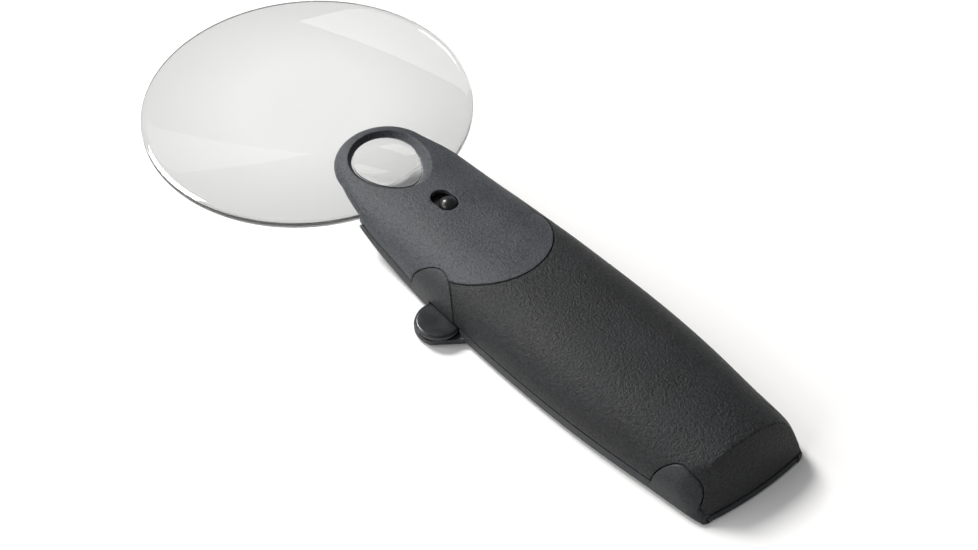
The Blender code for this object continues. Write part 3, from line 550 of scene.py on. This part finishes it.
def chin(x):
    return min(max((x - CHIN_X[0]) / (CHIN_X[1] - CHIN_X[0]), 0.0), 1.0)


def base_height(x):
    s = chin(x)
    return CHIN_RISE * (1.6 * s ** 2 - 0.6 * s ** 3)


def half_width(x):
    if x > RING_TANGENT_X:
        return math.sqrt(max(RING_RADIUS ** 2 - (x - RING_X) ** 2, 0.0))
    return along(HALF_WIDTH, x)


def corner_limit(x, z, side):
    """Half width left by the rounded upright corner at the tail, on one side (1 or -1)."""
    width, gain, loss = TAIL_CORNER
    start = TAIL_CORNER_X[0] if side > 0 else TAIL_CORNER_X[1]
    foot = TAIL_FOOT[0] * max(0.0, 1 - z / TAIL_FOOT[1])
    return max(width + gain * (x - start) - loss * z + foot, 6.0)


def section(x, inset=0.0, flare=0.0):
    """Closed outline of the body at x, as (x, y, z) points."""
    width = half_width(x) + flare * chin(x) - inset
    base = base_height(x) + inset
    knee = along(KNEE, x)
    rise = along(CROWN, x) - inset - knee
    roll = min(max((x - CHIN_CORNER_X[0]) / (CHIN_CORNER_X[1] - CHIN_CORNER_X[0]), 0.0), 1.0)
    corner_y = min(max(CORNER[0] + CHIN_CORNER[0] * chin(x) - inset, 0.5), 0.9 * width)
    corner_z = max(CORNER[1] + CHIN_CORNER[1] * roll - inset, 0.5)
    off_centre = x - RING_X if x > RING_TANGENT_X else 0.0
    reach = math.hypot(width, off_centre)
    power = along(SQUARENESS, x)
    half = [(0.0, base)]
    for k in range(CORNER_STEPS + 1):
        a = k / CORNER_STEPS * math.pi / 2
        half.append((width - corner_y + corner_y * math.sin(a), base + corner_z * (1 - math.cos(a))))
    for k in range(SHOULDER_STEPS + 1):
        y = width * math.cos(k / SHOULDER_STEPS * math.pi / 2) ** (2 / power)
        outwards = (math.hypot(y, off_centre) / reach) ** power
        half.append((y, knee + rise * max(1 - outwards, 0.0) ** (1 / power)))
    half[-1] = (0.0, half[-1][1])

    def trimmed(side):
        points = []
        for y, z in half[1:-1]:
            if x < BAY_X[1]:
                limit = corner_limit(x, z, side) - 1.2 * inset
                y = (y + limit - math.hypot(y - limit, TAIL_CORNER_BLEND)) / 2
            points.append((side * y, z))
        return points

    outline = [half[0]] + trimmed(1) + [half[-1]] + trimmed(-1)[::-1]
    return [(x, y, z) for y, z in outline]


def body(name, front, back, steps, flare=0.0, inset=0.0):
    """Body between two stations; a front past the ring's tangent closes to the ring's tip."""
    loops = []
    tip = None
    if front > RING_TANGENT_X:
        tip = (RING_X + RING_RADIUS, 0, along(KNEE, RING_X))
        for k in range(1, 27):
            x = RING_X + RING_RADIUS * math.cos(math.radians(3 * k))
            loops.append(section(x, inset, flare))
        front = RING_TANGENT_X
    for k in range(steps + 1):
        loops.append(section(front + (back - front) * k / steps, inset, flare))
    return loft(name, loops, tip)


def skin_height(x, y):
    """Height of the body's upper surface behind the ring."""
    knee = along(KNEE, x)
    power = along(SQUARENESS, x)
    outwards = (abs(y) / half_width(x)) ** power
    return knee + (along(CROWN, x) - knee) * (1 - outwards) ** (1 / power)


def circle(x, y, radius, z, count=480):
    turns = [2 * math.pi * k / count for k in range(count)]
    return [(x + radius * math.cos(a), y + radius * math.sin(a), z) for a in turns]


def egg(shape, z, grow=0.0, count=144):
    """Closed outline: half an ellipse towards the lens and a more pointed half towards the tail."""
    x, front, rear, half_width_y = shape
    points = []
    for k in range(count):
        a = 2 * math.pi * k / count
        ahead = math.cos(a) >= 0
        bend = 1.0 if ahead else EGG_POINT
        along_x = (front if ahead else -rear) + (grow if ahead else -grow)
        across = math.copysign(abs(math.sin(a)) ** bend, math.sin(a))
        points.append((x + along_x * abs(math.cos(a)) ** bend, (half_width_y + grow) * across, z))
    return points


def tail_cutter(name, inset=0.0):
    """Everything behind the slanted, bowed tail face."""
    block = box(name, (-160, -100), (-40, 40), (-10, 30))
    skew = math.radians(TAIL_SKEW)
    loops = []
    for z in (-20.0, 40.0):
        middle = TAIL_X + inset + TAIL_LEAN * z + TAIL_BOW_RADIUS * math.cos(skew)
        loops.append(circle(middle, -TAIL_BOW_RADIUS * math.sin(skew), TAIL_BOW_RADIUS, z))
    return boolean(block, loft(name + "_bow", loops))


def arc_points(x, z, radius, start, end, count=40):
    angles = [math.radians(start + (end - start) * k / count) for k in range(count + 1)]
    return [(x + radius * math.cos(a), z + radius * math.sin(a)) for a in angles]


def lower_region(name, grow=0.0):
    """Side outline of the lower shell: below the seam, with a rounded tab near each end.

    The head tab shows on both sides; the tail tabs keep to the sides of the tail face.
    """
    top = []
    seam_steps = 24
    nose_x = CHIN_X[1]
    head_x, head_z, head_r = HEAD_TAB
    tail_x, tail_z, tail_height = TAIL_TAB
    for k in range(seam_steps):
        x = nose_x + (head_x + head_r - nose_x) * k / seam_steps
        top.append((x, along(SEAM, x) + grow))
    climb = math.degrees(math.asin((along(SEAM, head_x + head_r) + grow - head_z) / (head_r + grow)))
    drop = math.degrees(math.asin((head_z - along(SEAM, tail_x) - grow) / (head_r + grow)))
    top += arc_points(head_x, head_z, head_r + grow, climb, 180 + drop)
    top.append((tail_x, along(SEAM, tail_x) + grow))
    top.append((TAIL_TAB_END_X, along(SEAM, tail_x) + grow))
    top.append((TAIL_TAB_END_X, TAIL_SEAM_Z + grow))
    top.append((PAST_TAIL_X, TAIL_SEAM_Z + grow))
    outline = [(nose_x, -6.0)] + top + [(PAST_TAIL_X, -6.0)]
    region = prism(name, outline, -45, 45, "Y")
    front, rear = TAIL_TAB_REACH
    tab = []
    for k in range(TAB_STEPS + 1):
        a = math.pi * k / TAB_STEPS
        reach = (front if math.cos(a) > 0 else rear) + grow
        tab.append((tail_x + reach * math.cos(a), tail_z + (tail_height + grow) * math.sin(a)))
    tab += [(TAIL_TAB_FOOT_X - grow, TAIL_SEAM_Z), (TAIL_TAB_FOOT_X - grow, -5.0)]
    tab.append((tail_x + front + grow, -5.0))
    for side in (-1, 1):
        low, high = sorted((side * (TAIL_TAB_INNER_Y - grow), side * 44.0))
        boolean(region, prism(f"{name}_tab_{side + 1}", tab, low, high, "Y"), "UNION")
    return region


def head_region(name, grow=0.0):
    """Plan outline of the head cover: the head with a half-oval rear edge."""
    a, b = PANEL_RADII[0] + grow, PANEL_RADII[1] + grow
    count = 96
    oval = []
    for k in range(count + 1):
        angle = math.pi / 2 + math.pi * k / count
        oval.append((PANEL_X + a * math.cos(angle), b * math.sin(angle)))
    front = [(PANEL_X - grow, -30.0), (60.0, -30.0), (60.0, 30.0), (PANEL_X - grow, 30.0)]
    start = [(PANEL_X - grow, oval[0][1])]
    end = [(PANEL_X - grow, oval[-1][1])]
    return prism(name, start + oval[1:-1] + end + front, -10, 40, "Z")


def lens_face(offset=0.0, steps=24):
    """(radius, height above the lens's middle plane) from the middle to the rim."""
    points = []
    for k in range(steps + 1):
        r = LENS_RADIUS * k / steps
        points.append((r, LENS_EDGE / 2 + LENS_SAG * (1 - (r / LENS_RADIUS) ** 2) + offset))
    return points


def lens_room(name, upwards):
    """Room for the lens, open upwards (for the lower shell) or downwards (for the cover)."""
    rim = LENS_RADIUS + GAP
    face = lens_face(GAP)
    face[-1] = (rim, face[-1][1])
    if upwards:
        profile = [(0.0, 30.0), (rim, 30.0)] + [(r, -z) for r, z in reversed(face)]
    else:
        profile = face + [(rim, -20.0), (0.0, -20.0)]
    return turned(name, profile, LENS_X, 0, LENS_Z, LENS_STEPS)


def tongue_room(name, extra_depth=0.0):
    x = (TONGUE_X[0] - GAP, TONGUE_X[1] + 10)
    y = (-TONGUE_HALF_WIDTH - GAP, TONGUE_HALF_WIDTH + GAP)
    return box(name, x, y, (TONGUE_Z[0] - GAP - extra_depth, TONGUE_Z[1] + GAP))


# ---------------------------------------------------------------- pieces

def pass_light(obj):
    """Clear acrylic lets the studio light through to the floor instead of casting a solid shadow."""
    obj.visible_shadow = False
    obj.visible_diffuse = False


def make_main_lens(mat):
    half_edge = LENS_EDGE / 2
    upper = lens_face()[:-1]
    upper += [(LENS_RADIUS - 0.25, half_edge), (LENS_RADIUS - 0.07, half_edge - 0.08),
              (LENS_RADIUS, half_edge - 0.25)]
    lower = [(r, -z) for r, z in reversed(upper)]
    lens = turned("lens_blank", upper + lower, LENS_X, 0, LENS_Z, LENS_STEPS)
    boolean(lens, box("tongue", TONGUE_X, (-TONGUE_HALF_WIDTH, TONGUE_HALF_WIDTH), TONGUE_Z), "UNION")
    for k, name in enumerate(("lens_screw_right", "lens_screw_left")):
        x, y = SCREWS[name][:2]
        boolean(lens, post(f"tongue_hole_{2 * k}", x, y, (8.0, 14.0), SCREW_HOLE_RADIUS))
    lens.name = "lens"
    pass_light(lens)
    return dress(bake(lens), mat, "frame", "main_lens", 30)


def make_spot_lens(mat):
    """Egg-shaped plate that fills the hole, with a round dome on it."""
    base, top, crest = SPOT_Z
    inset = ((base, 0.1), (base + 0.1, 0.0), (top - 0.1, 0.0), (top, 0.1))
    plate = loft("reading_spot", [egg(HOLE, z, -GAP - trim) for z, trim in inset])
    dome = [(SPOT_RADIUS * k / 24, crest - (crest - top) * (k / 24) ** 2) for k in range(25)]
    profile = dome + [(SPOT_RADIUS, (base + top) / 2), (0.0, (base + top) / 2)]
    boolean(plate, turned("spot_dome", profile, HOLE[0], 0, 0, 160), "UNION")
    pass_light(plate)
    return dress(bake(plate), mat, "frame", "spot_lens", 30)


def make_head_cover(mat, hollow):
    cover = body("head_shell", 50, -44.0, 66)
    boolean(cover, head_region("head_area"), "INTERSECT")
    boolean(cover, lower_region("lower_area_for_head", GAP))
    boolean(cover, hollow)
    boolean(cover, lens_room("lens_room_below", upwards=False))
    boolean(cover, tongue_room("cover_tongue_room", 4.0))
    boolean(cover, box("cover_led_room", *LED_ROOM))
    low, high = COUNTERSINK_Z
    window = [egg(HOLE, 5.0), egg(HOLE, low - 0.2), egg(HOLE, low, 0.1)]
    window += [egg(COUNTERSINK, high + rise, grow)
               for rise, grow in ((-0.5, -0.5), (-0.15, 0.0), (0.3, 0.6), (2.0, 3.5))]
    boolean(cover, loft("ring_window", window))
    radius = SLOT_WIDTH / 2
    reach = SLOT_LENGTH / 2 - radius
    slot = arc_points(SLOT_X + reach, 0, radius, -90, 90)
    slot += arc_points(SLOT_X - reach, 0, radius, 90, 270)
    boolean(cover, prism("switch_slot", slot, 14.0, 25.0, "Z"))
    boolean(cover, box("flange_pocket", *FLANGE_POCKET))
    for name in ("lens_screw_left", "lens_screw_right"):
        x, y = SCREWS[name][:2]
        boolean(cover, post(name + "_pilot", x, y, (12.0, 16.1), SCREW_HOLE_RADIUS))
    soften(cover, 0.22)
    return dress(bake(cover), mat, "frame", "head_cover")


def make_grip_cover(mat, hollow):
    cover = body("grip_shell", -14.0, BODY_END_X, 100)
    boolean(cover, head_region("head_area_for_grip", GAP))
    boolean(cover, lower_region("lower_area_for_grip", GAP))
    boolean(cover, tail_cutter("tail_for_grip"))
    boolean(cover, hollow)
    for name in ("shell_screw_left", "shell_screw_right", "shell_screw_rear"):
        x, y = SCREWS[name][:2]
        foot = 5.5 if y == 0 else 4.5
        top = skin_height(x, abs(y) + BOSS_RADIUS) - WALL / 2
        boolean(cover, post(name + "_grip_boss", x, y, (foot, top), BOSS_RADIUS - 0.4), "UNION")
        boolean(cover, post(name + "_grip_pilot", x, y, (4.0, 12.5), SCREW_HOLE_RADIUS))
    soften(cover, 0.3)
    return dress(bake(cover), mat, "frame", "grip_cover")


def make_lower_shell(mat, hollow):
    shell = body("under_shell", 24.0, BODY_END_X, 130, flare=FLARE)
    boolean(shell, lower_region("lower_area"), "INTERSECT")
    boolean(shell, hollow)
    arc = arc_points(WHEEL_X + 0.2, LEDGE_Y, LEDGE_RADIUS, -20, 118)
    ledge = [(WHEEL_X + 5.0, 21.0)] + arc + [LEDGE_TIP, (LEDGE_TIP[0] + 2, 21.0)]
    boolean(shell, prism("wheel_ledge", ledge, *LEDGE_Z, "Z"), "UNION")
    for name, sides in BAY_RIBS.items():
        boolean(shell, box(name, *sides), "UNION")
    for name in ("shell_screw_left", "shell_screw_right"):
        x, y = SCREWS[name][:2]
        boolean(shell, post(name + "_lower_boss", x, y, (0.4, 4.2), BOSS_RADIUS), "UNION")
    for k, (x, y) in enumerate(BOARD_POSTS):
        boolean(shell, post(f"board_post_{k}", x, y, (1.0, 5.7), 1.8), "UNION")
        boolean(shell, post(f"board_pin_{k}", x, y, (5.0, 7.8), 0.8), "UNION")
    boolean(shell, tail_cutter("tail_for_lower"))
    boolean(shell, lens_room("lens_room_above", upwards=True))
    boolean(shell, tongue_room("shell_tongue_room"))
    boolean(shell, box("nose_trim", (SHELL_FRONT_X, 60.0), (-40, 40), (-10, 30)))
    door_x = (DOOR_FRONT_X + GAP, PAST_TAIL_X)
    door_y = DOOR_HALF_WIDTH + GAP
    reach, low, high = DOOR_TONGUE
    boolean(shell, box("door_room", door_x, (-door_y, door_y), (-1.0, DOOR_Z[1] + GAP)))
    door_y += reach
    boolean(shell, box("tongue_grooves", door_x, (-door_y, door_y), (low - GAP, high + GAP)))
    boolean(shell, box("shell_led_room", *LED_ROOM))
    for name, y in (("left_notch", CELL_Y), ("right_notch", -CELL_Y)):
        boolean(shell, box(name, (BAY_X[0], BAY_X[0] + 4.0), (y - 0.9, y + 0.9), (9.4, 11.6)))
    window_x = (WINDOW_X[0] - GAP, WINDOW_X[1] + GAP)
    window_y = WINDOW_HALF_WIDTH + GAP
    boolean(shell, box("window_room", window_x, (-window_y, window_y), (0.0, WINDOW_TOP_Z + GAP)))
    for name, (x, y, low) in SCREWS.items():
        head_top = low + SCREW_HEAD[1] + GAP
        boolean(shell, post(name + "_counterbore", x, y, (-3.0, head_top), SCREW_HEAD[0] + GAP))
        boolean(shell, post(name + "_clearance", x, y, (-3.0, 9.8), SCREW_HOLE_RADIUS))
    wheel_z = (LEDGE_Z[1], WHEEL_Z[1] + GAP)
    boolean(shell, post("wheel_slot", WHEEL_X, WHEEL_Y, wheel_z, WHEEL_RADIUS + GAP, 96))
    boolean(shell, post("axle_hole", WHEEL_X, WHEEL_Y, (-1.0, 4.0), 1.5))
    boolean(shell, post("axle_head_room", WHEEL_X, WHEEL_Y, (-1.0, 1.3), 2.3))
    soften(shell, 0.22)
    return dress(bake(shell), mat, "frame", "lower_shell")


def make_thumbwheel(mat):
    """Smooth-topped disc with a finely ribbed rim."""
    low, high = WHEEL_Z
    r = WHEEL_RADIUS
    bore = AXLE_BORE_RADIUS

    def ripple(radius, angle):
        if radius < r - 0.35:
            return radius
        return radius - 0.09 * (0.5 - 0.5 * math.cos(WHEEL_RIBS * angle)) ** 2

    profile = [(0.0, high), (2.0, high), (4.0, high - 0.01), (r - 1.0, high - 0.04),
               (r - 0.62, high - 0.08), (r - 0.45, high - 0.2), (r - 0.3, high - 0.28),
               (r - 0.08, high - 0.38), (r, high - 0.55), (r, low + 0.4), (r - 0.1, low + 0.15),
               (r - 0.35, low), (bore + 0.05, low), (bore, low + 0.1), (bore, high - 0.5),
               (0.0, high - 0.5)]
    wheel = turned("dimmer_wheel", profile, WHEEL_X, WHEEL_Y, 0, WHEEL_RIBS * 6, ripple)
    return dress(wheel, mat, "wheel", "thumbwheel", 45)


def make_switch_knob(mat):
    """Domed knob on a flange that slides under the head cover."""
    low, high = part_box("switch_knob")
    x = (low.x + high.x) / 2 / MM
    top = high.z / MM
    turns = [math.pi / 2 * k / 20 for k in range(21)]
    dome = [(KNOB_RADIUS * math.sin(a), top - KNOB_DOME * (1 - math.cos(a))) for a in turns]
    foot = FLANGE_Z[1] - 0.05
    profile = dome + [(KNOB_RADIUS, foot + 0.15), (KNOB_RADIUS - 0.1, foot), (0.0, foot)]
    knob = turned("switch_button", profile, x, 0, 0, 96)
    flange = box("flange", (low.x / MM, high.x / MM), (low.y / MM, high.y / MM), FLANGE_Z)
    boolean(knob, flange, "UNION")
    boolean(knob, post("stem", x, 0, STEM_Z, 1.0), "UNION")
    return dress(bake(knob), mat, "knob", "switch_knob")


def make_battery_door(mat):
    """Sliding door with a ribbed thumb patch at its front end."""
    y = DOOR_HALF_WIDTH
    low, high = DOOR_Z
    reach, tongue_low, tongue_high = DOOR_TONGUE
    door = box("bay_door", (DOOR_FRONT_X, PAST_TAIL_X), (-y, y), (low, high))
    tongues = box("door_tongues", (DOOR_FRONT_X - 0.2, PAST_TAIL_X), (-y - reach, y + reach),
                  (tongue_low, tongue_high))
    boolean(door, tongues, "UNION")
    boolean(door, tail_cutter("tail_for_door"))
    for k in range(THUMB_GROOVES):
        x = DOOR_FRONT_X - 6.0 - 1.7 * k
        half = 8.0 - 0.5 * abs(k - THUMB_GROOVES // 2) ** 1.5
        boolean(door, box(f"grip_groove_{k}", (x, x - 0.8), (-half, half), (-1.0, low + 0.4)))
    soften(door, 0.18)
    return dress(bake(door), mat, "door", "battery_door")


def make_screws(mat):
    """Screws with a pan head, a cross recess and a turned thread."""
    radius, height = SCREW_HEAD
    for name, (x, y, low) in SCREWS.items():
        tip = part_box(name)[1].z / MM
        neck = low + height
        profile = [(0.0, tip), (0.5, tip), (SCREW_RADIUS, tip - 1.2)]
        for k in range(int((tip - low - 3.0) / SCREW_PITCH)):
            z = tip - 1.4 - SCREW_PITCH * k
            profile += [(SCREW_RADIUS, z), (SCREW_RADIUS - 0.25, z - SCREW_PITCH / 2)]
        profile += [(SCREW_RADIUS, neck + 0.1), (SCREW_RADIUS, neck), (radius - 0.1, neck),
                    (radius, neck - 0.15), (radius, low + 0.5), (radius - 0.2, low + 0.18),
                    (radius - 0.7, low + 0.03), (0.0, low)]
        screw = turned(name + "_turned", profile, x, y, 0, 48)
        for k, (sx, sy) in enumerate(((1.2, 0.24), (0.24, 1.2))):
            recess = box(f"{name}_slot_{k}", (x - sx, x + sx), (y - sy, y + sy), (low - 1, low + 0.7))
            boolean(screw, recess)
        dress(bake(screw), mat, "frame", name, 30)


def make_led_window(mat):
    """Clear wedge that fills the opening in the chin, flush with its underside."""
    xs = [WINDOW_X[0] + (WINDOW_X[1] - WINDOW_X[0]) * k / 16 for k in range(17)]
    outline = [(x, base_height(x) + 0.1) for x in xs]
    outline += [(WINDOW_X[1], WINDOW_TOP_Z), (WINDOW_X[0], WINDOW_TOP_Z)]
    window = prism("light_window", outline, -WINDOW_HALF_WIDTH, WINDOW_HALF_WIDTH, "Y")
    soften(window, 0.15)
    return dress(bake(window), mat, "frame", "led_window")


def make_body():
    hollow = body("cavity", CAVITY_FRONT_X, BODY_END_X, 70, inset=WALL)
    boolean(hollow, tail_cutter("cavity_tail", WALL + 0.2))
    make_head_cover(moulded_plastic("head_grain", *HEAD_PLASTIC), hollow)
    make_grip_cover(moulded_plastic("grip_grain", *GRIP_PLASTIC), hollow)
    make_lower_shell(moulded_plastic("shell_grain", *SHELL_PLASTIC), hollow)
    make_battery_door(moulded_plastic("door_grain", *DOOR_PLASTIC))


def dress_inner_nodes():
    """CAD nodes whose shape is right keep it, and get their finish here. Returns the steel."""
    steel = metal("plated_steel", (0.62, 0.62, 0.6), 0.3)
    finishes = {
        "battery_left": cell_sleeve("cell_sleeve_left", SLEEVE_BAND_X["battery_left"], "LESS_THAN"),
        "battery_right": cell_sleeve("cell_sleeve_right", SLEEVE_BAND_X["battery_right"],
                                     "GREATER_THAN"),
        "spring_left": steel, "spring_right": steel, "terminal_left": steel, "terminal_right": steel,
        "bridge_plate": steel, "wheel_axle": steel,
        "circuit_board": board_material("solder_mask"),
        "led": clear_plastic("led_dome", (1.0, 0.97, 0.85), 0.15),
        "switch_body": metal("switch_can", (0.5, 0.5, 0.5), 0.4),
        "wheel_contact": metal("leaf_bronze", (0.65, 0.42, 0.2), 0.25),
        "driver_chip": smooth_plastic("chip_case", (0.02, 0.02, 0.021), 0.4),
        "inductor": smooth_plastic("ferrite_core", (0.045, 0.042, 0.04), 0.6),
        "wire_red": smooth_plastic("red_jacket", (0.45, 0.02, 0.015), 0.35),
        "wire_black": smooth_plastic("black_jacket", (0.015, 0.015, 0.015), 0.35),
        "switch_wire_left": smooth_plastic("grey_jacket", (0.25, 0.25, 0.26), 0.35),
        "switch_wire_right": smooth_plastic("white_jacket", (0.55, 0.55, 0.53), 0.35),
    }
    for name, mat in finishes.items():
        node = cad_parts[name]
        node.data.materials.clear()
        node.data.materials.append(mat)
    return steel


# ---------------------------------------------------------------- stage

def make_floor():
    bm = bmesh.new()
    bmesh.ops.create_grid(bm, x_segments=1, y_segments=1, size=FLOOR_REACH / MM)
    floor = finish_mesh("floor", bm)
    floor.location.z = -FLOOR_DROP
    mat, nodes, links, shader = new_material("paper")
    shader.inputs["Base Color"].default_value = (0.9, 0.9, 0.9, 1)
    shader.inputs["Roughness"].default_value = 0.9
    shader.inputs["Specular IOR Level"].default_value = 0.1
    floor.data.materials.append(mat)


def area_light(name, place, width, height, power, colour=(1, 1, 1)):
    """Rectangular soft light that faces the object."""
    light = bpy.data.lights.new(name, "AREA")
    light.shape = "RECTANGLE"
    light.size = width
    light.size_y = height
    light.energy = power
    light.color = colour
    obj = bpy.data.objects.new(name, light)
    bpy.context.scene.collection.objects.link(obj)
    obj.location = place
    obj.rotation_euler = (Vector(LIGHT_TARGET) - Vector(place)).to_track_quat("-Z", "Y").to_euler()
    return obj


def make_lights():
    world = bpy.data.worlds.new("studio")
    bpy.context.scene.world = world
    world.use_nodes = True
    background = world.node_tree.nodes["Background"]
    background.inputs["Color"].default_value = (1.0, 1.0, 1.0, 1)
    background.inputs["Strength"].default_value = WORLD_LIGHT
    area_light("back", (1.15, 0.1, 1.25), 0.45, 0.45, 33.0, (1.0, 0.99, 0.97))
    area_light("key", (0.80, 0.85, 0.95), 0.6, 0.6, 6.0)
    area_light("side", (0.1, 1.15, 0.62), 0.8, 0.4, 5.5)
    far_panel = area_light("far_panel", (1.75, -1.85, 1.6), 1.1, 0.72, 3.4)
    far_panel.rotation_euler = (0, 0, 0)        # straight down, for the bright wedge on the lens


def make_camera():
    """Camera at the photograph's viewing angle."""
    camera = bpy.data.cameras.new("camera")
    camera.sensor_width = 36.0
    camera.lens = CAMERA_LENS
    obj = bpy.data.objects.new("camera", camera)
    bpy.context.scene.collection.objects.link(obj)
    ahead = Vector(CAMERA_AHEAD).normalized()
    right = ahead.cross(Vector((0, 0, 1))).normalized()
    up = right.cross(ahead)
    turn = Matrix((right, up, -ahead)).transposed().to_4x4()
    obj.matrix_world = Matrix.Translation(CAMERA_PLACE) @ turn
    bpy.context.scene.camera = obj


def main():
    steel = dress_inner_nodes()
    make_main_lens(shaded_lens_acrylic("shaded_lens_acrylic"))
    make_spot_lens(clear_plastic("spot_acrylic_clear", (1.0, 1.0, 1.0), 0.0))
    make_body()
    make_thumbwheel(smooth_plastic("wheel_plastic", (0.007, 0.009, 0.011), 0.32))
    make_switch_knob(smooth_plastic("knob_plastic", (0.008, 0.008, 0.009), 0.3))
    make_screws(steel)
    make_led_window(clear_plastic("window_acrylic_clear", (0.97, 0.98, 1.0), 0.2))
    remove_cutters()
    make_floor()
    make_lights()
    make_camera()
    bpy.context.scene.view_settings.view_transform = "Standard"


main()
